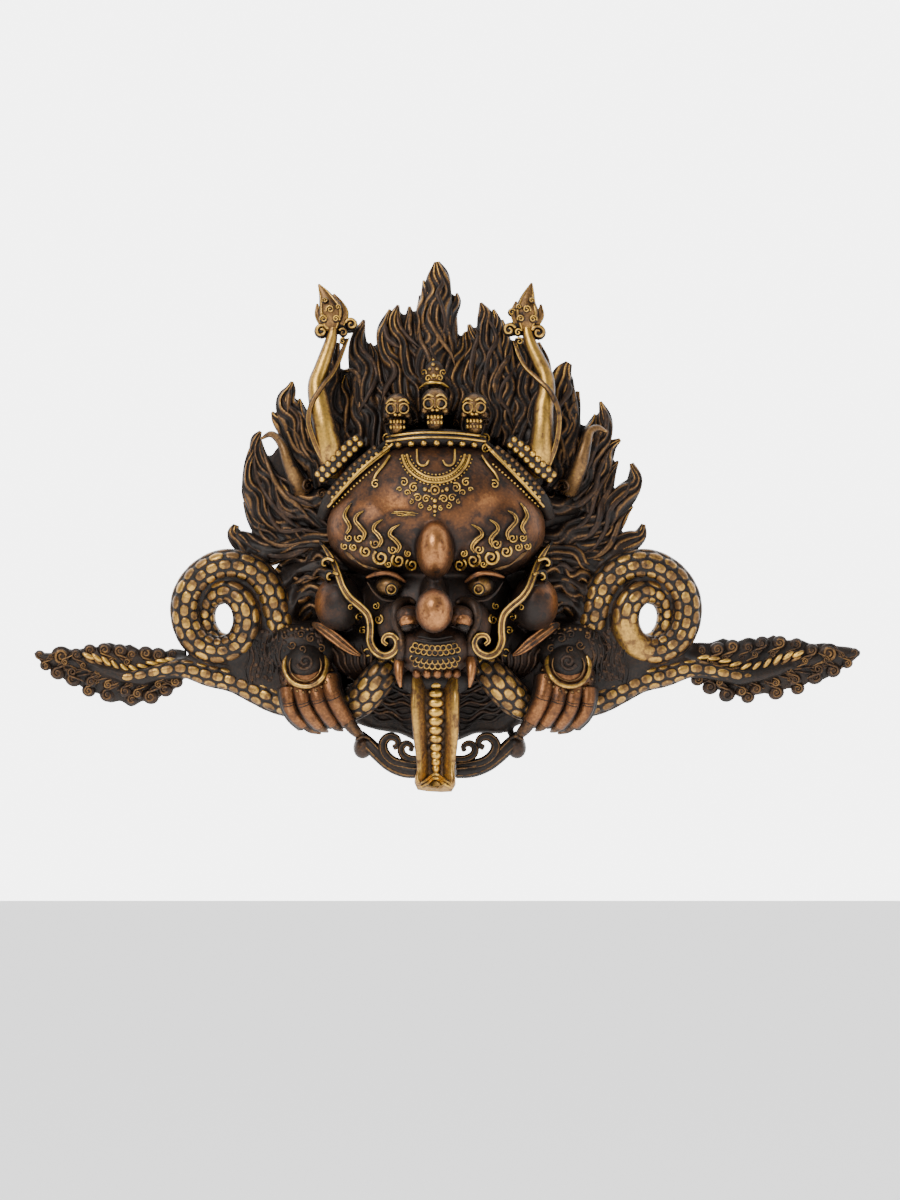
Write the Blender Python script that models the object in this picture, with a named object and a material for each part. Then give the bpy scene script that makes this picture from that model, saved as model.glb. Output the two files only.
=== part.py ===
"""A cast brass wall mask: a fierce horned head in a mane of flames, holding two coiled serpents.

The mask is one hollow-backed casting, so it is one solid. Its back is flat and lies on the wall at y = 0, the face
looks along -Y, and the origin is on the back behind the crown. The carving is drawn in millimetres on the front view,
as (x, z, depth in front of the wall, half size), and then brought to the real size by MASK_WIDTH and RELIEF_DEPTH.
"""
import math

import bmesh
import bpy
from mathutils import Vector

MASK_WIDTH = 0.560
RELIEF_DEPTH = 0.108
SHELL = 0.009
BACK_RIM = 0.010
PLATE_THICKNESS = 0.0113
SKIN_STEP = 0.0012
THINNED = 0.016

DRAWN_WIDTH = 560.0
DRAWN_DEPTH = 108.0
ACROSS = MASK_WIDTH / DRAWN_WIDTH
OUTWARD = RELIEF_DEPTH / DRAWN_DEPTH

# The right side is drawn from the left one, and leans out a little below the mouth.
LEAN_START = -140.0
LEAN_END = -210.0
LEAN = 5.0
TAIL_STRETCH = 1.13

# Every form reaches a little behind the wall plane, by its own amount, and is cut flat there at the end.
BEHIND = 1.5
BEHIND_STEP = 0.07

# Flame locks of the mane, root to tip, as (x, z, half width), with the depth of the front at root and tip.
CROWN_FLAMES = [
    (36, 13, [(0, 22, 13), (-3, 48, 12), (1, 72, 11), (1, 92, 9.5), (1.5, 105, 7.5), (0.5, 113.5, 3)]),
    (22, 12, [(-5, 60, 6), (-8, 78, 5), (-6.5, 92, 4), (-8.5, 101, 0.8)]),
    (24, 11, [(-7, 52, 6), (-11, 68, 5), (-9.5, 82, 4), (-11, 91.5, 0.8)]),
    (27, 11, [(-9, 38, 8), (-14, 58, 7), (-17, 72, 5), (-18, 84, 1)]),
    (30, 12, [(-12, 26, 8), (-19, 46, 8), (-26, 62, 6.5), (-28, 75, 5), (-25.5, 85, 1)]),
    (32, 11, [(-18, 16, 8), (-26, 38, 8), (-33, 54, 6), (-35.5, 68, 4.5), (-31, 82, 1)]),
    (28, 10, [(-30, 4, 8), (-35, 22, 8), (-38, 38, 7), (-42, 50, 5), (-44.5, 59.5, 0.8)]),
    (26, 12, [(-42, 0, 8), (-46, 18, 9), (-49, 36, 9), (-52, 52, 7.5), (-52, 64, 5), (-48.5, 75, 1)]),
    (24, 10, [(-50, 2, 7), (-52, 18, 7), (-51, 32, 6), (-55, 40, 3), (-62, 41, 0.7)]),
    (21, 9, [(-58, -2, 7), (-61, 16, 6.5), (-62.5, 28, 5.5), (-61, 37.5, 1)]),
    (20, 10, [(-62, -12, 10), (-68, 6, 9.5), (-72, 26, 8.5), (-71, 44, 7), (-68.5, 60, 4)]),
    (26, 11, [(8, 48, 6), (10, 66, 5), (10.5, 78, 4), (14, 87, 3), (14, 93, 0.8)]),
    (30, 12, [(10, 26, 9), (13, 46, 8), (18, 58, 5), (20, 67, 1)]),
    (32, 11, [(20, 2, 9), (20, 26, 9), (23, 46, 7.5), (25, 60, 5), (22, 72, 1.2)]),
    (30, 12, [(30, 2, 9), (31, 28, 9), (32, 50, 8), (34, 68, 7), (33, 78, 5.5), (30, 86.5, 1)]),
    (27, 11, [(38, 8, 8), (38, 40, 8), (40, 60, 6), (41, 72, 4), (38.5, 82, 1)]),
    (24, 10, [(46, 2, 8), (47, 34, 8), (46, 54, 6), (45, 66, 4), (44.5, 75, 1)]),
    (22, 10, [(54, -4, 9), (57, 18, 8), (58, 38, 7.5), (58, 50, 6), (57, 63, 4)]),
    (20, 10, [(62, -12, 10), (67, 10, 9.5), (70, 32, 8), (72, 46, 5), (69, 60, 1)]),
]
LEFT_FLAMES = [
    (20, 8, [(-80, -24, 9), (-89, -6, 9), (-97, 8, 9), (-101, 20, 7), (-98, 28, 4), (-97, 33.5, 1)]),
    (17, 7, [(-90, -14, 7), (-101, 1, 6), (-107, 8, 4), (-110.5, 13, 0.8)]),
    (18, 7, [(-80, -16, 7), (-88, 4, 6), (-91, 15, 3.5), (-92, 22, 0.8)]),
    (23, 8, [(-80, -58, 9), (-98, -51, 9), (-110, -36, 7.5), (-119, -18, 6), (-121, -6, 4), (-118, 0, 1)]),
    (19, 7, [(-98, -66, 8), (-114, -56, 8), (-123, -40, 7), (-125.5, -26, 4.5), (-123, -12, 3), (-119, -3, 0.8)]),
    (16, 7, [(-108, -64, 7), (-119, -54, 6.5), (-126, -42, 5), (-130, -33, 0.8)]),
    (17, 7, [(-100, -73, 8), (-115, -67, 7), (-123, -58, 5), (-129.5, -47.5, 0.8)]),
    (20, 8, [(-96, -80, 9), (-116, -79, 9), (-129, -75, 8), (-136, -69, 5), (-134.5, -63, 2)]),
    (30, 12, [(-76, -46, 7), (-92, -45, 7), (-103, -36, 5.5), (-110, -28, 1)]),
    (32, 14, [(-72, -74, 8), (-90, -78, 9), (-106, -80, 8), (-120, -84, 6)]),
    (34, 16, [(-72, -90, 8), (-88, -92, 8), (-98, -98, 7), (-104, -110, 5), (-101, -124, 2)]),
    (36, 20, [(-76, -106, 8), (-88, -108, 8), (-95, -116, 7), (-96, -128, 3)]),
]
RIGHT_FLAMES = [
    (20, 9, [(80, -26, 9), (86, -6, 9), (87, 14, 9), (85.5, 28, 8), (85, 38, 7), (89.5, 45.5, 2.5)]),
    (17, 8, [(88, -10, 7), (91, 6, 6), (93.5, 17, 4), (95.5, 27, 1.2)]),
    (16, 7, [(88, -24, 7), (93, -6, 5), (96.5, 8.5, 0.8)]),
    (20, 8, [(96, -34, 9), (107, -14, 8), (112.5, 0, 6.5), (113.5, 10, 4.5), (110.5, 20, 1)]),
    (17, 7, [(98, -16, 6), (104, 0, 5), (107, 11.5, 0.8)]),
    (18, 8, [(104, -42, 8), (111, -24, 7), (117, -11, 4.5), (124, -5.5, 1.2)]),
    (16, 7, [(104, -56, 8), (112, -40, 7), (117, -28, 4.5), (122.5, -20, 0.8)]),
    (23, 9, [(80, -72, 9), (100, -66, 10), (116, -54, 9), (128, -42, 8), (134.5, -32, 4.5), (131.5, -21.5, 1.5)]),
    (19, 8, [(94, -80, 9), (111, -72, 9), (121, -61, 6.5), (127, -54, 4), (132.5, -50.5, 0.8)]),
    (20, 8, [(98, -88, 9), (116, -82, 9), (129, -75, 8), (137, -70, 5), (139.5, -62.5, 1.5)]),
    (30, 12, [(74, -50, 7), (90, -50, 7), (102, -42, 5.5), (109, -31, 1)]),
    (32, 14, [(72, -84, 8), (90, -87, 9), (104, -92, 8), (114, -98, 5)]),
    (35, 17, [(74, -98, 8), (88, -100, 8), (98, -107, 6.5), (101, -122, 2.5)]),
    (36, 20, [(78, -112, 8), (88, -114, 8), (95, -121, 6), (97, -130, 3)]),
]
LOCK_STATIONS = 6
# A lock's section, as shares of its half width and of its height in front of the wall.
LOCK_SECTION = [(-1.0, 0.0), (-0.86, 0.62), (0.0, 1.0), (0.86, 0.62), (1.0, 0.0)]

# Flat plates behind the carving, as (x, z).
MANE_PLATE = [
    (0, 74), (-16, 68), (-30, 54), (-44, 40), (-53, 22), (-66, 24), (-80, 20), (-94, 2), (-109, -12), (-116, -32),
    (-116, -50), (-118, -70), (-104, -92), (-104, -130), (-60, -150), (0, -156), (62, -150), (104, -130), (106, -92),
    (122, -72), (118, -52), (110, -34), (100, -14), (90, 8), (78, 18), (62, 26), (48, 52), (34, 66), (16, 60),
]
CHIN_PLATE = [
    (-100, -128), (-128, -134), (-140, -158), (-130, -168), (-104, -183), (-66, -190), (-52, -198), (-40, -201.5),
    (-24, -204), (-12, -210), (0, -213), (14, -209), (27, -203.5), (44, -204), (56, -198), (72, -190), (110, -183),
    (134, -168), (144, -157), (130, -134), (100, -128),
]
CHIN_FRONT = 23.7
PLATE_EDGE = 0.85

# Forms of the head, as centre (x, z, depth) and half sizes (across, up, outward).
CRANIUM = ((0, -56, 14), (73, 53, 62))
BROW = ((-35, -76, 40), (38, 20, 34))
MIDFACE = ((0, -124, 16), (56, 46, 46))
CHEEK = ((-62, -119, 30), (20, 25, 28))
BEAD_BROW = ((-1, -79, 70), (12.5, 19.5, 20))
NOSE = ((-1, -119, 92), (15.5, 15.2, 16))
NOSE_BRIDGE = ((-1, -110, 66), (12, 16, 22))
NOSTRIL = ((-17.5, -124, 76), (9, 7, 12))
MUZZLE = ((-1, -146, 60), (26, 19, 28))
EYE = ((-31, -104, 50), (11, 9, 12))
HAND_BACK = ((-87, -160, 26), (20, 26, 24))
KNOB = ((-48.5, -211.5, 24), (6.5, 8.5, 9))
SKULLS = [((-0.7, 18.5, 41), (9.2, 9.4, 12)), ((-25.6, 15.5, 36), (8.8, 9, 12)), ((25.4, 16, 36), (9.2, 9, 12))]
JAWS = [((-0.7, 4, 44), (5.6, 7.6, 9)), ((-25.2, 1.5, 38), (5.6, 7, 10)), ((25.2, 2, 38), (5.6, 7, 10))]
FINIAL = ((-1, 38, 31), (8.5, 10, 9))
LEFT_CURLS = [((-77, 67, 22), (6, 6, 4)), ((-58, 70, 17), (7.5, 5.5, 8)), ((-62, 63, 22), (3.5, 5, 4))]
RIGHT_CURLS = [((68, 66, 22), (6, 5.5, 4)), ((50, 68, 17), (7, 6, 8)), ((55, 62, 22), (4, 5, 4)), ((53, 80, 19), (5, 6, 4))]
HOLLOW_FORMS = (CRANIUM, MIDFACE)
FACE_MASSES = (CRANIUM, BROW, MIDFACE, CHEEK, MUZZLE)
FACE_FLOOR = 30.0

# Round forms swept along a route, as (x, z, depth, half thickness).
HORN = [(-64, -34, 22, 10), (-69, -18, 36, 10), (-74, 0, 38, 7.5), (-77.5, 18, 34, 7), (-79, 32, 31, 6.4), (-74.5, 45, 28, 5.2),
        (-70, 58, 25, 4), (-68, 74, 23, 2)]
RIGHT_HORN = [(64, -34, 22, 10), (70, -18, 36, 9), (71.5, 0, 38, 7.2), (71, 18, 34, 6.6), (74, 32, 31, 6),
              (69, 46, 28, 5), (63.5, 58, 25, 4), (60.6, 73, 23, 2.4)]
RIGHT_RIBBON = [(75, -20, 38, 2), (79.5, -12, 44, 2), (82, 2, 43, 2.2), (81, 16, 41, 2.2), (74, 28, 41, 2.2),
                (64, 37.5, 34, 2.2), (56.5, 47, 27, 2.2), (52.5, 59, 22, 1.8)]
RIGHT_HORN_FLAME = [(60, 66, 22, 5), (61, 78, 22, 9), (61, 88, 21, 6), (64, 99, 19, 2)]
HORN_RIBBON = [(-74, -20, 38, 2), (-79, -12, 44, 2), (-83.5, 2, 43, 2.2), (-83.5, 16, 41, 2.2), (-76, 28, 41, 2.2), (-68, 38, 34, 2),
               (-63.5, 50, 27, 2), (-61.5, 60, 22, 1.6)]
HORN_FLAME = [(-69, 66, 22, 4), (-69.5, 78, 22, 8), (-71, 88, 21, 6), (-75, 94, 20, 4), (-79, 97.5, 19, 1.2)]
SMALL_HORN = [(-90, -40, 14, 7), (-94, -32, 22, 6.5), (-98, -20, 26, 5), (-103, -8, 24, 3.6), (-109, -1.8, 20, 2.6), (-117, -3, 14, 1.6)]

# Ornaments that ride on the face, as (x, z, rise of the middle line over the face, half thickness).
BEARD = [(-83, -128, 1, 2.5), (-74, -133, 2, 5), (-64, -140, 2, 5.5), (-54, -147, 1, 3)]
WHISKER = [(-75, -79, 0, 2), (-68, -91, 1, 2.6), (-62, -104, 1, 3), (-54, -114.5, 1, 3.2), (-45, -121, 1, 3.6),
           (-41.5, -131, 1, 4), (-42, -141, 1, 4), (-36, -149, 1, 3.6), (-28.5, -146, 1, 3)]
LIP_FOLD = [(-12, -111, 0, 4), (-23, -114.5, 1, 4.6), (-27, -126, 2, 4.2), (-25, -141, 2, 4), (-24, -158, 2, 4)]
FANG = [(-24.5, -152, 1, 3.6), (-24, -162, 4, 3), (-22.5, -171, 6, 0.8)]
MOUTH_SERPENT = [(-26, -150, 34, 9), (-38, -166, 40, 12), (-50, -180, 34, 12), (-64, -190, 24, 9)]
COIL = [(-101, -140, 12, 10), (-107, -122, 14, 12), (-112, -106, 15, 12), (-124, -93, 16, 10.8), (-142, -89.5, 16, 10.8),
        (-157.5, -97, 15, 10.4), (-167, -111, 14, 10.4), (-168, -127, 13, 10), (-161, -141, 13, 10),
        (-147, -147.5, 14, 10), (-133, -143, 17, 10), (-126.5, -130, 21, 10), (-129, -116, 23, 9.5),
        (-139, -108, 20, 8.6), (-150, -110.5, 13, 8), (-156, -120, 7, 7.5), (-154.5, -131, 5, 7)]
LOWER_SERPENT = [(-94, -184, 16, 9), (-107, -180.5, 15, 9.5), (-121, -174, 13, 9.5), (-136, -167, 11, 8.4),
                 (-152, -163.5, 10, 8.6), (-168, -158.5, 10, 9), (-184, -162, 11, 6.4), (-200, -166.5, 12, 5.6),
                 (-216, -163, 12, 4.6), (-232, -158, 11, 3)]
# The leaves at the tails' ends: the middle line with upper and lower half widths, and scallops along the edge.
LEFT_LEAF = [(-168, -154, 8, 12), (-182, -158, 11.5, 20), (-196, -160, 13.5, 23.5), (-210, -159, 16, 25),
             (-224, -157, 14.5, 23), (-237, -156, 10, 17), (-249, -155, 9.5, 13), (-260, -153, 4.5, 7),
             (-272, -149, 1.4, 1.6)]
RIGHT_LEAF = [(168, -152, 8, 12), (182, -157, 16, 13), (196, -158, 18, 17), (212, -158, 18.5, 20),
              (226, -156, 18, 21), (240, -155, 15.5, 19), (254, -154, 12, 15), (270, -152, 9, 11), (287, -148.5, 1.4, 1.6)]
LEAF_FRONT = 11.0
FINGERS = [
    [(-72, -166, 40, 9), (-68.5, -179, 46, 7.5), (-61.5, -191, 42, 6.8), (-54, -199, 34, 6), (-47.5, -206, 26, 5.5)],
    [(-81, -170, 42, 7.5), (-78.5, -182, 47, 6), (-71.5, -192.5, 42, 5.6), (-64, -199, 32, 4.8)],
    [(-91, -172, 41, 7.5), (-88.5, -184, 45, 6), (-81.5, -194, 40, 5.6), (-74, -200, 30, 4.8)],
    [(-99, -173, 38, 7), (-98.5, -184, 41, 5.6), (-91.5, -193.5, 36, 5.2), (-84.5, -198.5, 28, 4.4)],
    [(-93, -192, 22, 5), (-86, -198, 22, 5), (-79.5, -201.5, 20, 4)],
]
WRIST_RING = [(-101, -156, 38, 2), (-99, -167, 44, 2.4), (-93, -172.5, 49, 2.4), (-86, -172.5, 52, 2.4),
              (-79, -168, 51, 2.4), (-74, -160, 46, 2.4), (-73.5, -151, 40, 2)]
SCROLL_VINE = [(-50, -206, 26, 6), (-42, -213, 28, 6), (-33, -222, 31, 5.5), (-22, -227.5, 34, 5), (-8, -228, 38, 5)]
BIG_CURL = [(-8, -224, 38, 4), (-24, -222, 35, 4.6), (-34, -215, 33, 4.4), (-35, -207, 31, 3.8), (-29, -204.5, 30, 3.4),
            (-25.5, -208.5, 33, 3)]
SMALL_CURL = [(-8, -219, 36, 3.4), (-18, -219.5, 34, 3.6), (-22.5, -214, 33, 3.4), (-18.5, -210.5, 32, 3.4),
              (-10, -212, 34, 3.4)]
CROWN_BAND = [(-39, -16, 34, 4), (-24, -7, 43, 5), (0, -5.5, 48, 6), (24, -7, 43, 5), (39, -16, 34, 4)]
HAIR_BAND = [(-38, -14, 44, 5), (-54, -28, 46, 5.5), (-70, -46, 40, 5), (-76, -58, 30, 4)]

# The tongue's middle line with its half width, and its section as shares of the half width and in millimetres.
TONGUE = [(-1, -158, 40, 12), (-1, -172, 56, 14), (-1, -184, 60, 15.5), (-1, -200, 58, 15), (-1, -216, 54, 13),
          (-1, -229, 54, 12.5), (-1, -238, 58, 14)]
TONGUE_SECTION = [(-1.0, -3.0), (-1.0, 6.0), (-0.72, 6.5), (-0.42, 1.0), (0.0, 4.0), (0.42, 1.0), (0.72, 6.5),
                  (1.0, 6.0), (1.0, -3.0)]

# Where a hook finds room in the hollow, and the plain patina of the casting.
HOLLOW_SIDES = 20
PATINA = (0.10, 0.07, 0.045, 1.0)


def place(x, z, depth):
    """A drawn point at its real place: the wall is at y = 0 and the viewer looks along +Y."""
    return Vector((x * ACROSS, -depth * OUTWARD, z * ACROSS))


def mirrored(x, z):
    """Where a point drawn on the left lies on the right."""
    share = min(1.0, max(0.0, (LEAN_START - z) / (LEAN_START - LEAN_END)))
    lean = LEAN * share * min(1.0, abs(x) / 40.0)
    stretch = max(0.0, abs(x) - 180.0) * (TAIL_STRETCH - 1.0)
    return -x + lean + stretch


def face_depth(x, z):
    """How far the face stands in front of the wall at a drawn point."""
    deepest = FACE_FLOOR
    for (cx, cz, depth), (across, tall, outward) in FACE_MASSES:
        for side in (-1, 1):
            share = 1.0 - ((x * side - cx) / across) ** 2 - ((z - cz) / tall) ** 2
            if share > 0.0:
                deepest = max(deepest, depth + outward * math.sqrt(share))
    return deepest


def on_face(route):
    """A route whose rises over the face become depths in front of the wall."""
    return [(x, z, face_depth(x, z) + rise, half) for x, z, rise, half in route]


def right_route(route):
    """A route drawn on the left, as it runs on the right."""
    return [(mirrored(row[0], row[1]), *row[1:]) for row in route]


def right_form(form):
    """A rounded form drawn on the left, as it sits on the right."""
    (x, z, depth), sizes = form
    return (mirrored(x, z), z, depth), sizes


def curve_point(rows, t):
    """A point of the smooth curve through the rows, with t from 0 to the last row's number."""
    i = min(int(t), len(rows) - 2)
    u = t - i
    before, start = rows[max(i - 1, 0)], rows[i]
    end, after = rows[i + 1], rows[min(i + 2, len(rows) - 1)]
    return tuple(
        0.5 * (2 * b + (c - a) * u + (2 * a - 5 * b + 4 * c - d) * u * u + (3 * b - a - 3 * c + d) * u ** 3)
        for a, b, c, d in zip(before, start, end, after)
    )


def stations(rows, count):
    """The smooth curve through the rows, cut into stations an equal way apart."""
    fine = 12 * (len(rows) - 1)
    points = [curve_point(rows, i * (len(rows) - 1) / fine) for i in range(fine + 1)]
    run = [0.0]
    for a, b in zip(points, points[1:]):
        run.append(run[-1] + math.dist(a[:2], b[:2]))
    found = []
    for k in range(count):
        target = run[-1] * k / (count - 1)
        i = max(j for j in range(fine + 1) if run[j] <= target + 1e-9)
        i = min(i, fine - 1)
        share = (target - run[i]) / (run[i + 1] - run[i])
        found.append(tuple(a + (b - a) * share for a, b in zip(points[i], points[i + 1])))
    return found


def solid_of_rings(name, rings):
    """A closed object whose skin joins rings of points, one after the other, with a cap on each end."""
    mesh = bpy.data.meshes.new(name)
    shape = bmesh.new()
    loops = [[shape.verts.new(point) for point in ring] for ring in rings]
    for first, second in zip(loops, loops[1:]):
        for i in range(len(first)):
            j = (i + 1) % len(first)
            shape.faces.new((first[i], first[j], second[j], second[i]))
    shape.faces.new(list(reversed(loops[0])))
    shape.faces.new(loops[-1])
    bmesh.ops.triangulate(shape, faces=shape.faces)
    bmesh.ops.recalc_face_normals(shape, faces=shape.faces)
    shape.to_mesh(mesh)
    shape.free()
    made = bpy.data.objects.new(name, mesh)
    bpy.context.scene.collection.objects.link(made)
    return made


def sideways(centres, i):
    """The level direction square to a route of places at its number i."""
    along = centres[min(i + 1, len(centres) - 1)] - centres[max(i - 1, 0)]
    return along.cross(Vector((0.0, 1.0, 0.0))).normalized(), along.normalized()


def swept(name, route, section, count):
    """Sweeps a section along a route. The section gives (share of the half size, outward millimetres) for a size."""
    rows = stations(route, count)
    centres = [place(*row[:3]) for row in rows]
    rings = []
    for i, (centre, row) in enumerate(zip(centres, rows)):
        side, along = sideways(centres, i)
        out = side.cross(along)
        if out.y > 0:
            out = -out
        rings.append([centre + side * (a * ACROSS) + out * (b * OUTWARD) for a, b in section(row[3])])
    return solid_of_rings(name, rings)


def rod(name, route, count, sides=6):
    """A round tapering form along a route."""
    def section(size):
        turns = [2 * math.pi * (k + 0.5) / sides for k in range(sides)]
        return [(size * math.cos(turn), size * math.sin(turn)) for turn in turns]
    return swept(name, route, section, count)


def lock(name, root_front, tip_front, route, behind):
    """One flame lock of the mane, flat behind and ridged in front."""
    rows = stations(route, LOCK_STATIONS)
    flat = [place(x, z, 0.0) for x, z, _ in rows]
    rings = []
    for i, (x, z, half) in enumerate(rows):
        side, _ = sideways(flat, i)
        front = root_front + (tip_front - root_front) * i / (len(rows) - 1)
        ring = []
        for across, height in LOCK_SECTION:
            depth = -behind + (front + behind) * height
            ring.append(place(x, z, depth) + side * (across * half * ACROSS))
        rings.append(ring)
    return solid_of_rings(name, rings)


def plate(name, outline, front, behind):
    """A plate of the given outline, from behind the wall plane to its front, domed a little towards its middle."""
    middle_z = sum(z for _, z in outline) / len(outline)
    back_ring = [place(x, z, -behind) for x, z in outline]
    edge_ring = [place(x, z, front * PLATE_EDGE) for x, z in outline]
    front_ring = [place(x * 0.9, middle_z + (z - middle_z) * 0.9, front) for x, z in outline]
    return solid_of_rings(name, [back_ring, edge_ring, front_ring])


def leaf(name, rows, front, behind):
    """The scalloped leaf at a tail's end, higher along its middle line."""
    across = []
    for number, (x, z, up, down) in enumerate(stations(rows, 15)):
        scallop = 1.12 if number % 2 else 0.94
        across.append((x, z, up * scallop, down * scallop))
    rings = []
    for x, z, up, down in across:
        rings.append([
            place(x, z - down, -behind), place(x, z - down, front * 0.55), place(x, z, front),
            place(x, z + up, front * 0.55), place(x, z + up, -behind),
        ])
    return solid_of_rings(name, rings)


def ball(name, form, around=12, up=8):
    """A rounded form with the given centre and half sizes."""
    (x, z, depth), (across, tall, outward) = form
    mesh = bpy.data.meshes.new(name)
    shape = bmesh.new()
    bmesh.ops.create_uvsphere(shape, u_segments=around, v_segments=up, radius=1.0)
    for vert in shape.verts:
        vert.co = place(x + vert.co.x * across, z + vert.co.z * tall, depth - vert.co.y * outward)
    bmesh.ops.recalc_face_normals(shape, faces=shape.faces)
    shape.to_mesh(mesh)
    shape.free()
    made = bpy.data.objects.new(name, mesh)
    bpy.context.scene.collection.objects.link(made)
    return made


def hollow_form(name, form):
    """A form of the head drawn in by the wall's thickness, which cuts the hollow behind it."""
    (x, z, depth), (across, tall, outward) = form
    wall_across, wall_out = SHELL / ACROSS, SHELL / OUTWARD
    sizes = (across - wall_across - BACK_RIM / ACROSS, tall - wall_across, outward - wall_out)
    return ball(name, ((x, z, depth), sizes), HOLLOW_SIDES, HOLLOW_SIDES // 2)


def both_sides(make, name, drawn, mirror, *more):
    """Makes a piece of carving on the left and its fellow on the right."""
    return [make(f"{name}_left", drawn, *more), make(f"{name}_right", mirror(drawn), *more)]


def mane_forms():
    """The plates and every lock of the mane, each reaching its own way behind the wall plane."""
    forms = [plate("chin_plate", CHIN_PLATE, CHIN_FRONT, BEHIND + BEHIND_STEP)]
    for number, (root, tip, route) in enumerate(CROWN_FLAMES + LEFT_FLAMES + RIGHT_FLAMES):
        forms.append(lock(f"lock_{number}", root, tip, route, BEHIND + BEHIND_STEP * (number + 2)))
    return forms


def head_forms():
    """The head's masses, features and ornaments."""
    forms = [ball("cranium", CRANIUM, 20, 12), ball("midface", MIDFACE, 16, 10)]
    forms += [ball("brow_bump", BEAD_BROW), ball("nose", NOSE, 14, 8), ball("nose_bridge", NOSE_BRIDGE, 10, 6)]
    forms.append(ball("muzzle", MUZZLE, 14, 8))
    forms += [ball(f"skull_{i}", form, 8, 8) for i, form in enumerate(SKULLS + JAWS)]
    forms += [ball("finial", FINIAL, 8, 6), rod("crown_band", CROWN_BAND, 9)]
    for name, form, around, up in (("brow", BROW, 16, 8), ("cheek", CHEEK, 12, 8), ("nostril", NOSTRIL, 8, 6),
                                   ("eye", EYE, 10, 6)):
        forms += both_sides(ball, name, form, right_form, around, up)
    for name, route, count in (("beard", BEARD, 6), ("whisker", WHISKER, 14), ("lip", LIP_FOLD, 8), ("fang", FANG, 4)):
        forms += both_sides(rod, name, on_face(route), right_route, count, 5)
    forms += both_sides(rod, "hair_band", HAIR_BAND, right_route, 5, 5)
    return forms


def horn_forms():
    """The two great horns with their ribbons and flame finials, and the two small horns."""
    forms = []
    for number, route in enumerate((HORN, RIGHT_HORN, HORN_RIBBON, RIGHT_RIBBON, HORN_FLAME, RIGHT_HORN_FLAME)):
        forms.append(rod(f"horn_{number}", route, len(route) + 1))
    forms += both_sides(rod, "small_horn", SMALL_HORN, right_route, 6)
    for number, form in enumerate(LEFT_CURLS + RIGHT_CURLS):
        forms.append(ball(f"horn_curl_{number}", form, 8, 5))
    return forms


def serpent_forms():
    """The coils, the bodies that run through the hands, and the leaves at the tails' ends."""
    forms = both_sides(rod, "coil", COIL, right_route, 42, 7)
    forms += both_sides(rod, "lower_serpent", LOWER_SERPENT, right_route, 13, 6)
    forms += both_sides(rod, "mouth_serpent", MOUTH_SERPENT, right_route, 6, 8)
    for name, rows in (("leaf_left", LEFT_LEAF), ("leaf_right", RIGHT_LEAF)):
        forms.append(leaf(name, rows, LEAF_FRONT, BEHIND - BEHIND_STEP))
    return forms


def hand_forms():
    """The hands, their fingers, and the scrolls below that they hold."""
    forms = both_sides(ball, "hand", HAND_BACK, right_form, 12, 8) + both_sides(ball, "knob", KNOB, right_form, 8, 6)
    forms += both_sides(rod, "wrist_ring", WRIST_RING, right_route, 9, 5)
    for number, route in enumerate(FINGERS):
        forms += both_sides(rod, f"finger_{number}", route, right_route, 6)
    for name, route, count in (("vine", SCROLL_VINE, 7), ("big_curl", BIG_CURL, 9), ("small_curl", SMALL_CURL, 7)):
        forms += both_sides(rod, name, route, right_route, count)
    return forms


def tongue_form():
    """The long tongue, a channel with raised edges and a ridge of scales down its middle."""
    def section(size):
        return [(share * size, outward) for share, outward in TONGUE_SECTION]
    return swept("tongue", TONGUE, section, 8)


def wall_cutter():
    """All that lies behind the wall plane."""
    deep = RELIEF_DEPTH
    wide = MASK_WIDTH
    mesh = bpy.data.meshes.new("behind_wall")
    shape = bmesh.new()
    bmesh.ops.create_cube(shape, size=1.0)
    for vert in shape.verts:
        vert.co = Vector((vert.co.x * 2 * wide, (vert.co.y + 0.5) * deep, vert.co.z * 2 * wide))
    shape.to_mesh(mesh)
    shape.free()
    made = bpy.data.objects.new("behind_wall", mesh)
    bpy.context.scene.collection.objects.link(made)
    return made


def helpers(name, objects):
    """Puts the objects in a collection of their own, as shapes that only join or cut another."""
    group = bpy.data.collections.new(name)
    bpy.context.scene.collection.children.link(group)
    for made in objects:
        group.objects.link(made)
        bpy.context.scene.collection.objects.unlink(made)
        made.hide_render = True
        made.display_type = "WIRE"
    return group


def boolean(body, name, operation, group):
    """Joins a collection's shapes to the body, or cuts them from it."""
    step = body.modifiers.new(name, "BOOLEAN")
    step.operation = operation
    step.operand_type = "COLLECTION"
    step.collection = group
    step.solver = "MANIFOLD"
    return step


def patina():
    """The casting's plain material."""
    finish = bpy.data.materials.new("brass_patina")
    finish.use_nodes = True
    shader = finish.node_tree.nodes["Principled BSDF"]
    shader.inputs["Base Color"].default_value = PATINA
    shader.inputs["Metallic"].default_value = 0.9
    shader.inputs["Roughness"].default_value = 0.45
    return finish


def main():
    """Clears the scene and casts the mask as one solid."""
    for old in list(bpy.data.objects):
        bpy.data.objects.remove(old)
    mask = plate("mask", MANE_PLATE, PLATE_THICKNESS / OUTWARD, BEHIND)
    forms = mane_forms() + head_forms() + horn_forms() + serpent_forms() + hand_forms() + [tongue_form()]
    hollow = [hollow_form(f"hollow_{number}", form) for number, form in enumerate(HOLLOW_FORMS)]
    boolean(mask, "carving", "UNION", helpers("carving", forms))
    skin = mask.modifiers.new("skin", "REMESH")
    skin.mode = "VOXEL"
    skin.voxel_size = SKIN_STEP
    thin = mask.modifiers.new("thin", "DECIMATE")
    thin.ratio = THINNED
    boolean(mask, "hollow", "DIFFERENCE", helpers("hollow", hollow + [wall_cutter()]))
    mask.data.materials.append(patina())


main()
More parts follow.
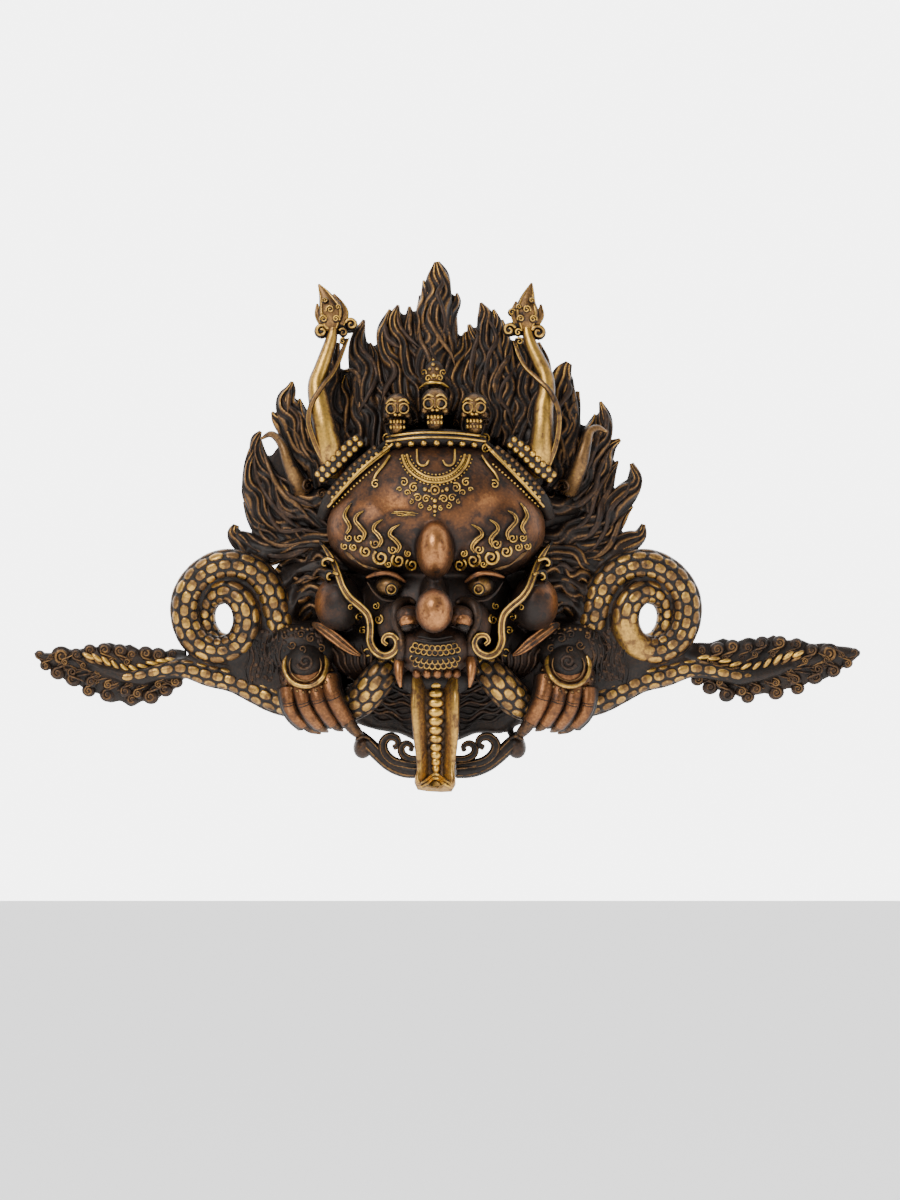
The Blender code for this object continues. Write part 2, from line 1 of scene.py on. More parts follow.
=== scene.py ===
"""A cast brass wall mask as it looks: a fierce horned head in flames, with coiled serpents and a long tongue.

Every form of the casting is drawn in millimetres on the front view, as x, z and depth in front of the wall,
and is gathered into a few closed meshes. Each point of a mesh carries how far rubbing has brightened it,
with painted sheen and painted shade added in a few places, and how coppery it is, and one finish reads both.
"""

import logging
import math
from dataclasses import dataclass, field
from enum import Enum

import bpy
import numpy as np
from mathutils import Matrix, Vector
from mathutils.bvhtree import BVHTree

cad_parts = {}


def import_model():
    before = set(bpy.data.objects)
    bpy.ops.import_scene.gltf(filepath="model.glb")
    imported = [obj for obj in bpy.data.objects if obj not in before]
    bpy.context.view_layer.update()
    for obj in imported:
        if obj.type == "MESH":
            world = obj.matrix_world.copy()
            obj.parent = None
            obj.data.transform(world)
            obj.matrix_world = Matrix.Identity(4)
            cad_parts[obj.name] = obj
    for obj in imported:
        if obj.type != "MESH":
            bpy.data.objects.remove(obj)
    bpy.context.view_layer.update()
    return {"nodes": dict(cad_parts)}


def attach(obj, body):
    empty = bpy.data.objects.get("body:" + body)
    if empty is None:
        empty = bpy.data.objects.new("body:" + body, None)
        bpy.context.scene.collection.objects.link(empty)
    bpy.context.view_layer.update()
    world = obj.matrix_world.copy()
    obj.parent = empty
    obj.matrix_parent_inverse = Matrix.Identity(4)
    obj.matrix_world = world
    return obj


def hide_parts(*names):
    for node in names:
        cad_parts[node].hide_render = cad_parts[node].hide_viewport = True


MM = 0.001
NODE = "mask"
LEAN = 5.0
LEAN_BELOW = -140.0
LEAN_FULL_AFTER = 70.0
LEAN_CLEAR_OF_MIDDLE = 40.0
Rows = list[tuple[float, ...]]
Colour = tuple[float, float, float]
Curl = tuple[float, float, float, float, float]
log = logging.getLogger("mask")


class Tone(Enum):
    """How a form is worn, as (brightness of its crest, share of copper in its colour). The darkest one also paints
    shade where a dark boss stands for a hole.
    """

    # Darkest patina; on the bosses in the nostrils and in the skulls' eye sockets it is painted shade.
    SOOT = (0.05, 0.3)
    FOLD = (0.26, 0.4)
    HAIR = (0.42, 0.25)
    DULL = (0.55, 0.15)
    GOLD = (0.92, 0.0)
    BRIGHT = (0.84, 0.05)
    SKIN = (0.62, 1.0)
    RUBBED = (0.8, 1.0)
    CLAW = (0.4, 0.5)


def resample(rows: Rows | np.ndarray, step: float) -> np.ndarray:
    """Runs a smooth curve through rows and cuts it into equal steps.

    Args:
        rows: Points as x, z and any further columns.
        step: The wanted distance between points, in millimetres.

    Returns:
        The points of the curve, one a line, with the same columns.
    """
    p = np.array(rows, float)
    around = np.vstack([2 * p[0] - p[1], p, 2 * p[-1] - p[-2]])
    t = np.linspace(0.0, len(p) - 1.0, (len(p) - 1) * 16 + 1)
    i = np.minimum(t.astype(int), len(p) - 2)
    u = (t - i)[:, None]
    a, b, c, d = around[i], around[i + 1], around[i + 2], around[i + 3]
    fine = 0.5 * (2 * b + (c - a) * u + (2 * a - 5 * b + 4 * c - d) * u**2 + (3 * b - a - 3 * c + d) * u**3)
    run = np.concatenate([[0.0], np.cumsum(np.linalg.norm(np.diff(fine[:, :2], axis=0), axis=1))])
    count = max(4, int(math.ceil(run[-1] / step)) + 1)
    at = np.linspace(0.0, run[-1], count)
    return np.stack([np.interp(at, run, fine[:, k]) for k in range(fine.shape[1])], axis=1)


def places(x: np.ndarray, z: np.ndarray, depth: np.ndarray) -> np.ndarray:
    """Drawn points as places in millimetres, with the viewer on the -Y side."""
    return np.stack([x, -depth, z], axis=-1)


def frames(points: np.ndarray, closed: bool = False) -> tuple[np.ndarray, np.ndarray]:
    """Finds the sideways and outward directions along a line of places.

    Args:
        points: The line's places.
        closed: Whether its end meets its start.

    Returns:
        The sideways and the outward direction at each place.
    """
    ends = np.roll(points, -1, 0) - np.roll(points, 1, 0) if closed else np.gradient(points, axis=0)
    along = ends / np.maximum(np.linalg.norm(ends, axis=1, keepdims=True), 1e-9)
    out = np.array([0.0, -1.0, 0.0]) + along * along[:, 1:2]
    out /= np.maximum(np.linalg.norm(out, axis=1, keepdims=True), 1e-6)
    return np.cross(along, out), out


def mirrored(rows: Rows) -> Rows:
    """Turns rows of the left side over to the right, where the lower forms stand a little further out.

    Args:
        rows: Points as x, z and any further columns.

    Returns:
        The same points as they lie on the right.
    """
    found = []
    for x, z, *rest in rows:
        low = min(1.0, max(0.0, (LEAN_BELOW - z) / LEAN_FULL_AFTER))
        lean = LEAN * low * min(1.0, abs(x) / LEAN_CLEAR_OF_MIDDLE)
        found.append((-x + lean, z, *rest))
    return found


def on_side(rows: Rows, right: bool) -> Rows:
    """Rows drawn on the left, as they lie on the side that is being made."""
    return mirrored(rows) if right else rows


def skin_faces(rings: int, sides: int, closed: bool = False) -> list[np.ndarray]:
    """Joins rings of places into a skin, with a fan round one more place at each open end.

    Args:
        rings: How many rings there are.
        sides: How many places each ring has.
        closed: Whether the last ring meets the first.

    Returns:
        The quads between the rings, then the triangles of the two ends where it is open.
    """
    i, j = np.meshgrid(np.arange(rings if closed else rings - 1), np.arange(sides), indexing="ij")
    up, right = (i + 1) % rings, (j + 1) % sides
    corners = [i * sides + j, i * sides + right, up * sides + right, up * sides + j]
    quads = np.stack(corners, axis=-1).reshape(-1, 4)
    if closed:
        return [quads]
    k = np.arange(sides)
    last, total = (rings - 1) * sides, rings * sides
    start = np.stack([np.full(sides, total), (k + 1) % sides, k], axis=-1)
    end = np.stack([np.full(sides, total + 1), last + k, last + (k + 1) % sides], axis=-1)
    return [quads, start, end]


def spiral(centre: tuple[float, float], radius: float, start: float, turns: float, half: float) -> Rows:
    """Draws a curl that winds inwards.

    Args:
        centre: Its middle, as x and z.
        radius: How far out it starts.
        start: The direction of its start from the middle, in degrees from +x towards +z.
        turns: How far it winds, negative for clockwise.
        half: Half its thickness at the start.

    Returns:
        The rows of the curl, as x, z and half thickness.
    """
    steps = max(6, int(abs(turns) * 14))
    rows = []
    for k in range(steps + 1):
        t = k / steps
        a = math.radians(start) + 2 * math.pi * turns * t
        r = radius * (1.0 - 0.78 * t)
        rows.append((centre[0] + r * math.cos(a), centre[1] + r * math.sin(a), half * (1.0 - 0.35 * t)))
    return rows


@dataclass
class Relief:
    """The forms that make up one mesh of the casting, gathered before the mesh is made."""

    name: str
    points: list[np.ndarray] = field(default_factory=list)
    faces: list[np.ndarray] = field(default_factory=list)
    polish: list[np.ndarray] = field(default_factory=list)
    copper: list[np.ndarray] = field(default_factory=list)
    count: int = 0
    blunt_end: float = 0.55
    end_run: float = 0.4
    behind: float = 0.3

    def add(self, points: np.ndarray, faces: list[np.ndarray], polish: np.ndarray, copper: float) -> None:
        """Adds one closed form, turned so that its faces look outwards.

        Args:
            points: Its places in millimetres.
            faces: Arrays of its quads and triangles.
            polish: How bright each point is.
            copper: How coppery the form is.
        """
        volume = 0.0
        for group in faces:
            for k in range(1, group.shape[1] - 1):
                a, b, c = points[group[:, 0]], points[group[:, k]], points[group[:, k + 1]]
                volume += float(np.einsum("ij,ij->i", a, np.cross(b, c)).sum())
        for group in faces:
            self.faces.append((group if volume > 0 else group[:, ::-1]) + self.count)
        self.points.append(points)
        self.polish.append(np.clip(polish, 0.0, 1.0))
        self.copper.append(np.full(len(points), copper))
        self.count += len(points)

    def tube(self, rings: np.ndarray, polish: np.ndarray, copper: float, closed: bool = False) -> None:
        """Adds a form whose skin joins rings of places.

        Args:
            rings: The rings, as rings by places by three.
            polish: Brightness of each place, as rings by places.
            copper: How coppery it is.
            closed: Whether the last ring meets the first, else both ends are capped.
        """
        points, bright = rings.reshape(-1, 3), polish.reshape(-1)
        if not closed:
            points = np.vstack([points, rings[0].mean(0), rings[-1].mean(0)])
            bright = np.concatenate([bright, [polish[0].mean(), polish[-1].mean()]])
        self.add(points, skin_faces(*rings.shape[:2], closed), bright, copper)

    def strand(self, rows: Rows | np.ndarray, tone: Tone, sides: int = 8, step: float = 1.3,
               tall: float = 1.0,
               closed: bool = False) -> None:
        """Adds a rounded strand with blunt ends.

        Args:
            rows: Its middle line, as x, z, depth and half thickness.
            tone: How it is worn.
            sides: How many places go round it.
            step: The distance between its rings.
            tall: Its height as a share of its thickness.
            closed: Whether it is a ring.
        """
        path = resample(rows, step)
        if closed:
            path = path[:-1]
        centre = places(path[:, 0], path[:, 1], path[:, 2])
        half = path[:, 3].copy()
        side, out = frames(centre, closed)
        if not closed:
            first = centre[:1] - (centre[1:2] - centre[:1]) * self.end_run
            last = centre[-1:] + (centre[-1:] - centre[-2:-1]) * self.end_run
            centre = np.vstack([first, centre, last])
            half = np.concatenate([[half[0] * self.blunt_end], half, [half[-1] * self.blunt_end]])
            side, out = (np.vstack([v[:1], v, v[-1:]]) for v in (side, out))
        turn = 2 * np.pi * (np.arange(sides) + 0.5) / sides
        across, outward = np.cos(turn), np.sin(turn)
        rings = centre[:, None] + half[:, None, None] * (
            side[:, None] * across[None, :, None] + out[:, None] * (outward * tall)[None, :, None])
        crest = np.clip((outward - 0.12) / 0.7, 0.0, 1.0) ** 1.2
        polish = np.repeat((tone.value[0] * crest)[None], len(centre), axis=0)
        self.tube(rings, polish, tone.value[1], closed)

    def ball(self, centre: tuple[float, float, float], sizes: tuple[float, float, float], tone: Tone,
             around: int = 12, lean: float = 0.0) -> None:
        """Adds a rounded form.

        Args:
            centre: Its middle, as x, z and depth.
            sizes: Its half sizes across, up and outward.
            tone: How it is worn.
            around: How many places go round it.
            lean: How far it is turned on the front view, in degrees.
        """
        rows = max(6, around * 2 // 3)
        angle = np.linspace(0.0, np.pi, rows + 2)[1:-1]
        turn = 2 * np.pi * np.arange(around) / around
        outward = np.cos(angle)[:, None] * np.ones(around)
        x = np.sin(angle)[:, None] * np.cos(turn) * sizes[0]
        z = np.sin(angle)[:, None] * np.sin(turn) * sizes[1]
        c, s = math.cos(math.radians(lean)), math.sin(math.radians(lean))
        rings = places(centre[0] + x * c - z * s, centre[1] + x * s + z * c, centre[2] + outward * sizes[2])
        poles = [np.array((centre[0], -(centre[2] + end * sizes[2]), centre[1])) for end in (1, -1)]
        crest = np.clip((outward - 0.05) / 0.75, 0.0, 1.0)
        polish = np.concatenate([(tone.value[0] * crest).reshape(-1), [tone.value[0], 0.0]])
        points = np.vstack([rings.reshape(-1, 3), *poles])
        self.add(points, skin_faces(*rings.shape[:2]), polish, tone.value[1])

    def ring(self, centre: tuple[float, float, float], radius: float, half: float, tone: Tone) -> None:
        """Adds a raised ring.

        Args:
            centre: Its middle, as x, z and depth.
            radius: How far its crest stands from the middle.
            half: Half its thickness.
            tone: How it is worn.
        """
        x, z, depth = centre
        turns = [2 * math.pi * k / 16 for k in range(17)]
        rows = [(x + radius * math.cos(a), z + radius * math.sin(a), depth, half) for a in turns]
        self.strand(rows, tone, sides=6, step=max(0.5, radius * 0.4), closed=True)

    def finish(self, finish: bpy.types.Material) -> bpy.types.Object:
        """Makes the mesh, dresses it and puts it on the wall with the rest.

        Args:
            finish: The material it gets.

        Returns:
            The finished piece.
        """
        mesh = bpy.data.meshes.new(self.name)
        flat = [face for group in self.faces for face in group.tolist()]
        spots = np.vstack(self.points)
        spots[:, 1] = np.minimum(spots[:, 1], -self.behind)
        mesh.from_pydata((spots * MM).tolist(), [], flat)
        for name, values in (("polish", self.polish), ("copper", self.copper)):
            mesh.attributes.new(name, "FLOAT", "POINT").data.foreach_set("value", np.concatenate(values))
        mesh.shade_smooth()
        mesh.materials.append(finish)
        piece = bpy.data.objects.new(self.name, mesh)
        bpy.context.scene.collection.objects.link(piece)
        log.info("%s: %d points, %d faces", self.name, len(mesh.vertices), len(mesh.polygons))
        return piece


class Ground:
    """The surface that finer carving lies on."""

    highest_of: int = 5
    mean_of: int = 7
    most_lift: float = 6.0

    def __init__(self, pieces: list[bpy.types.Object]) -> None:
        """Reads the surface of the given pieces.

        Args:
            pieces: What the carving lies on.
        """
        points, faces, start = [], [], 0
        for piece in pieces:
            points += [piece.matrix_world @ v.co for v in piece.data.vertices]
            faces += [[start + i for i in f.vertices] for f in piece.data.polygons]
            start = len(points)
        self.tree = BVHTree.FromPolygons(points, faces)

    def depth(self, x: float, z: float, missing: float = 8.0) -> float:
        """How far the surface stands in front of the wall at a drawn point."""
        hit = self.tree.ray_cast(Vector((x * MM, -0.3, z * MM)), Vector((0.0, 1.0, 0.0)))[0]
        return -hit.y / MM if hit is not None and -hit.y / MM > missing else missing

    def lay(self, rows: Rows, rise: float, step: float = 1.3) -> np.ndarray:
        """Lays a drawn line on the surface.

        Args:
            rows: The line, as x, z and half thickness.
            rise: How far its middle stands over the surface.
            step: The distance between its points.

        Returns:
            The line with its depth, as x, z, depth and half thickness.
        """
        path = resample(rows, step)
        depth = np.array([self.depth(x, z) for x, z in path[:, :2]])
        wide = np.pad(depth, self.highest_of // 2, mode="edge")
        high = np.max([wide[k:k + len(depth)] for k in range(self.highest_of)], axis=0)
        padded = np.pad(high, self.mean_of // 2, mode="edge")
        soft = np.convolve(padded, np.ones(self.mean_of) / self.mean_of, mode="valid")
        lifted = np.minimum(soft, depth + self.most_lift) + rise
        return np.column_stack([path[:, 0], path[:, 1], lifted, path[:, 2]])


@dataclass(frozen=True)
class Patina:
    """Brass gone dark brown, rubbed golden on its crests and coppery on the skin."""

    name: str = "brass_patina"
    dark: Colour = (0.016, 0.013, 0.011)
    brown: Colour = (0.045, 0.028, 0.018)
    bronze: Colour = (0.26, 0.14, 0.048)
    brass: Colour = (0.90, 0.53, 0.10)
    skin_dark: Colour = (0.020, 0.013, 0.010)
    skin_brown: Colour = (0.062, 0.030, 0.017)
    skin: Colour = (0.21, 0.086, 0.033)
    skin_bright: Colour = (0.64, 0.28, 0.10)
    stops: tuple[float, ...] = (0.0, 0.28, 0.6, 1.0)
    broad: tuple[float, float, float] = (55.0, 3.0, 0.45)
    fine: tuple[float, float, float] = (560.0, 5.0, 0.55)
    patches: tuple[float, float] = (130.0, 5.0)
    patch_range: tuple[float, float] = (0.56, 0.68)
    patch_depth: float = 0.27
    metal: tuple[float, float] = (0.45, 1.0)
    rough: tuple[float, float] = (0.52, 0.34)
    pit_strength: float = 0.35
    pit_depth: float = 0.4 * MM

    def ramp(self, tree: bpy.types.NodeTree, colours: list[Colour]) -> bpy.types.Node:
        """Adds a ramp of colours, dark to bright.

        Args:
            tree: The material's nodes.
            colours: One colour for each stop.

        Returns:
            The ramp.
        """
        node = tree.nodes.new("ShaderNodeValToRGB")
        elements = node.color_ramp.elements
        while len(elements) < len(colours):
            elements.new(0.5)
        for element, colour, at in zip(elements, colours, self.stops):
            element.position = at
            element.color = (*colour, 1.0)
        return node

    def noise(self, tree: bpy.types.NodeTree, scale: float, detail: float) -> bpy.types.Node:
        """Adds a noise over the object's own coordinates.

        Args:
            tree: The material's nodes.
            scale: How fine it is.
            detail: How many finer layers it has.

        Returns:
            The noise.
        """
        node = tree.nodes.new("ShaderNodeTexNoise")
        node.inputs["Scale"].default_value = scale
        node.inputs["Detail"].default_value = detail
        coordinates = tree.nodes.new("ShaderNodeTexCoord")
        tree.links.new(coordinates.outputs["Object"], node.inputs["Vector"])
        return node

    def varied(self, tree: bpy.types.NodeTree, base: bpy.types.NodeSocket, add: bpy.types.NodeSocket,
               amount: float) -> bpy.types.NodeSocket:
        """Varies a value by a noise, up and down alike.

        Args:
            tree: The material's nodes.
            base: The value.
            add: The noise.
            amount: How much of the noise is added.

        Returns:
            The varied value.
        """
        centred = tree.nodes.new("ShaderNodeMath")
        centred.operation = "MULTIPLY_ADD"
        tree.links.new(add, centred.inputs[0])
        centred.inputs[1].default_value = amount
        centred.inputs[2].default_value = -0.5 * amount
        total = tree.nodes.new("ShaderNodeMath")
        total.operation = "ADD"
        tree.links.new(base, total.inputs[0])
        tree.links.new(centred.outputs[0], total.inputs[1])
        return total.outputs[0]

    def patched(self, tree: bpy.types.NodeTree, wear: bpy.types.NodeSocket) -> bpy.types.NodeSocket:
        """Leaves dark patches on rubbed metal.

        Args:
            tree: The material's nodes.
            wear: How bright the metal is.

        Returns:
            The same with the patches taken off.
        """
        spread = tree.nodes.new("ShaderNodeMapRange")
        low, high = self.patch_range
        limits = (("From Min", low), ("From Max", high), ("To Min", 0.0), ("To Max", self.patch_depth))
        for name, value in limits:
            spread.inputs[name].default_value = value
        tree.links.new(self.noise(tree, *self.patches).outputs["Fac"], spread.inputs["Value"])
        less = tree.nodes.new("ShaderNodeMath")
        less.operation = "SUBTRACT"
        tree.links.new(wear, less.inputs[0])
        tree.links.new(spread.outputs["Result"], less.inputs[1])
        return less.outputs[0]

    def make(self) -> bpy.types.Material:
        """Makes the material.

        Returns:
            The material, which reads the attributes polish and copper.
        """
        finish = bpy.data.materials.new(self.name)
        finish.use_nodes = True
        tree = finish.node_tree
        shader = tree.nodes["Principled BSDF"]
        polish = tree.nodes.new("ShaderNodeAttribute")
        polish.attribute_name = "polish"
        copper = tree.nodes.new("ShaderNodeAttribute")
        copper.attribute_name = "copper"
        broad = self.noise(tree, *self.broad[:2])
        pits = self.noise(tree, *self.fine[:2])
        wear = self.varied(tree, polish.outputs["Fac"], broad.outputs["Fac"], self.broad[2])
        wear = self.varied(tree, wear, pits.outputs["Fac"], self.fine[2])
        wear = self.patched(tree, wear)
        gold = self.ramp(tree, [self.dark, self.brown, self.bronze, self.brass])
        skin = self.ramp(tree, [self.skin_dark, self.skin_brown, self.skin, self.skin_bright])
        mix = tree.nodes.new("ShaderNodeMix")
        mix.data_type = "RGBA"
        tree.links.new(wear, gold.inputs["Fac"])
        tree.links.new(wear, skin.inputs["Fac"])
        tree.links.new(copper.outputs["Fac"], mix.inputs["Factor"])
        tree.links.new(gold.outputs["Color"], mix.inputs["A"])
        tree.links.new(skin.outputs["Color"], mix.inputs["B"])
        tree.links.new(mix.outputs["Result"], shader.inputs["Base Color"])
        for name, (low, high) in (("Metallic", self.metal), ("Roughness", self.rough)):
            spread = tree.nodes.new("ShaderNodeMapRange")
            spread.inputs["To Min"].default_value = low
            spread.inputs["To Max"].default_value = high
            tree.links.new(wear, spread.inputs["Value"])
            tree.links.new(spread.outputs["Result"], shader.inputs[name])
        bump = tree.nodes.new("ShaderNodeBump")
        bump.inputs["Strength"].default_value = self.pit_strength
        bump.inputs["Distance"].default_value = self.pit_depth
        tree.links.new(pits.outputs["Fac"], bump.inputs["Height"])
        tree.links.new(bump.outputs["Normal"], shader.inputs["Normal"])
        return finish


@dataclass
class Casting:
    """The plain body of the casting: its flat back, its hollow and the dark ground under the carving.

    The stems behind the horns' jewels are drawn in around lines, each given as x and z of its two ends.
    """

    cell: float = 2.1 * MM
    drawn_in: float = 0.7 * MM
    front: float = 24.0 * MM
    thinned: float = 0.6
    mane_foot: float = -75.0
    mane_inner: float = 72.0
    mane_soft: tuple[float, float] = (25.0, 20.0)
    stems: list[tuple[float, ...]] = field(default_factory=lambda: [
        (-69.0, 64.0, -70.5, 86.0), (-70.5, 86.0, -75.0, 93.0), (60.0, 64.0, 61.0, 86.0),
        (61.0, 86.0, 63.0, 94.0)])
    stem_reach: tuple[float, float] = (12.0, 2.5)
    stem_depth: tuple[float, float] = (9.0, 3.0)
    stem_drawn: float = 0.72
    back_depth: float = 2.0 * MM
    back_polish: float = 0.15
    ground_polish: float = 0.06
    copper: float = 0.3

    def copied(self, node: bpy.types.Object) -> bpy.types.Object:
        """Takes a copy of the solid in its place, with its points merged.

        Args:
            node: The plain solid.

        Returns:
            The copy, selected and active.
        """
        bpy.ops.object.select_all(action="DESELECT")
        body = bpy.data.objects.new("casting_body", node.data.copy())
        body.data.transform(node.matrix_world)
        bpy.context.scene.collection.objects.link(body)
        body.select_set(True)
        bpy.context.view_layer.objects.active = body
        bpy.ops.object.mode_set(mode="EDIT")
        bpy.ops.mesh.select_all(action="SELECT")
        bpy.ops.mesh.remove_doubles(threshold=0.001 * MM)
        bpy.ops.object.mode_set(mode="OBJECT")
        body.modifiers.clear()
        return body

    def soften(self, body: bpy.types.Object) -> None:
        """Softens the body, draws it in and cuts off what stands under the deeper carving.

        Args:
            body: The copy of the solid.
        """
        skin = body.modifiers.new("skin", "REMESH")
        skin.mode, skin.voxel_size = "VOXEL", self.cell
        soft = body.modifiers.new("soft", "SMOOTH")
        soft.factor, soft.iterations = 0.5, 3
        inward = body.modifiers.new("inward", "DISPLACE")
        inward.strength, inward.mid_level = -self.drawn_in, 0.0
        for step in ("skin", "soft", "inward"):
            bpy.ops.object.modifier_apply(modifier=step)
        bpy.ops.object.mode_set(mode="EDIT")
        bpy.ops.mesh.select_all(action="SELECT")
        bpy.ops.mesh.bisect(plane_co=(0.0, -self.front, 0.0), plane_no=(0.0, -1.0, 0.0), use_fill=True,
                            clear_outer=True)
        bpy.ops.object.mode_set(mode="OBJECT")

    def thin(self, co: np.ndarray) -> None:
        """Thins the mane toward the wall and draws the stems behind the jewels in around their lines.

        Args:
            co: The body's points in metres, which it moves.
        """
        x, y, z = co.T / MM
        low, side = self.mane_soft
        mane = np.clip((z - self.mane_foot) / low, 0.0, 1.0)
        mane = mane * np.clip(np.maximum(np.abs(x) - self.mane_inner, z) / side, 0.0, 1.0)
        away, near_x, near_z = np.full(len(x), np.inf), x.copy(), z.copy()
        for ax, az, bx, bz in self.stems:
            along = ((x - ax) * (bx - ax) + (z - az) * (bz - az)) / ((bx - ax) ** 2 + (bz - az) ** 2)
            along = np.clip(along, 0.0, 1.0)
            line_x, line_z = ax + along * (bx - ax), az + along * (bz - az)
            gap = np.hypot(x - line_x, z - line_z)
            near_x, near_z = np.where(gap < away, line_x, near_x), np.where(gap < away, line_z, near_z)
            away = np.minimum(gap, away)
        reach, edge = self.stem_reach
        depth, rise = self.stem_depth
        stem = np.clip((reach - away) / edge, 0.0, 1.0) * np.clip((-y - depth) / rise, 0.0, 1.0)
        co[:, 0] += self.stem_drawn * stem * (near_x - x) * MM
        co[:, 2] += self.stem_drawn * stem * (near_z - z) * MM
        co[:, 1] *= 1.0 - self.thinned * mane * (1.0 - stem)

    def build(self, node: bpy.types.Object, finish: bpy.types.Material) -> bpy.types.Object:
        """Makes the body from a copy of the solid.

        Args:
            node: The plain solid.
            finish: The material it gets.

        Returns:
            The finished piece.
        """
        body = self.copied(node)
        self.soften(body)
        count = len(body.data.vertices)
        co = np.empty(count * 3)
        body.data.vertices.foreach_get("co", co)
        self.thin(co.reshape(-1, 3))
        body.data.vertices.foreach_set("co", co)
        polish = np.where(co[1::3] > -self.back_depth, self.back_polish, self.ground_polish)
        for name, values in (("polish", polish), ("copper", np.full(count, self.copper))):
            body.data.attributes.new(name, "FLOAT", "POINT").data.foreach_set("value", values)
        body.data.materials.clear()
        body.data.materials.append(finish)
        body.data.shade_smooth()
        return body


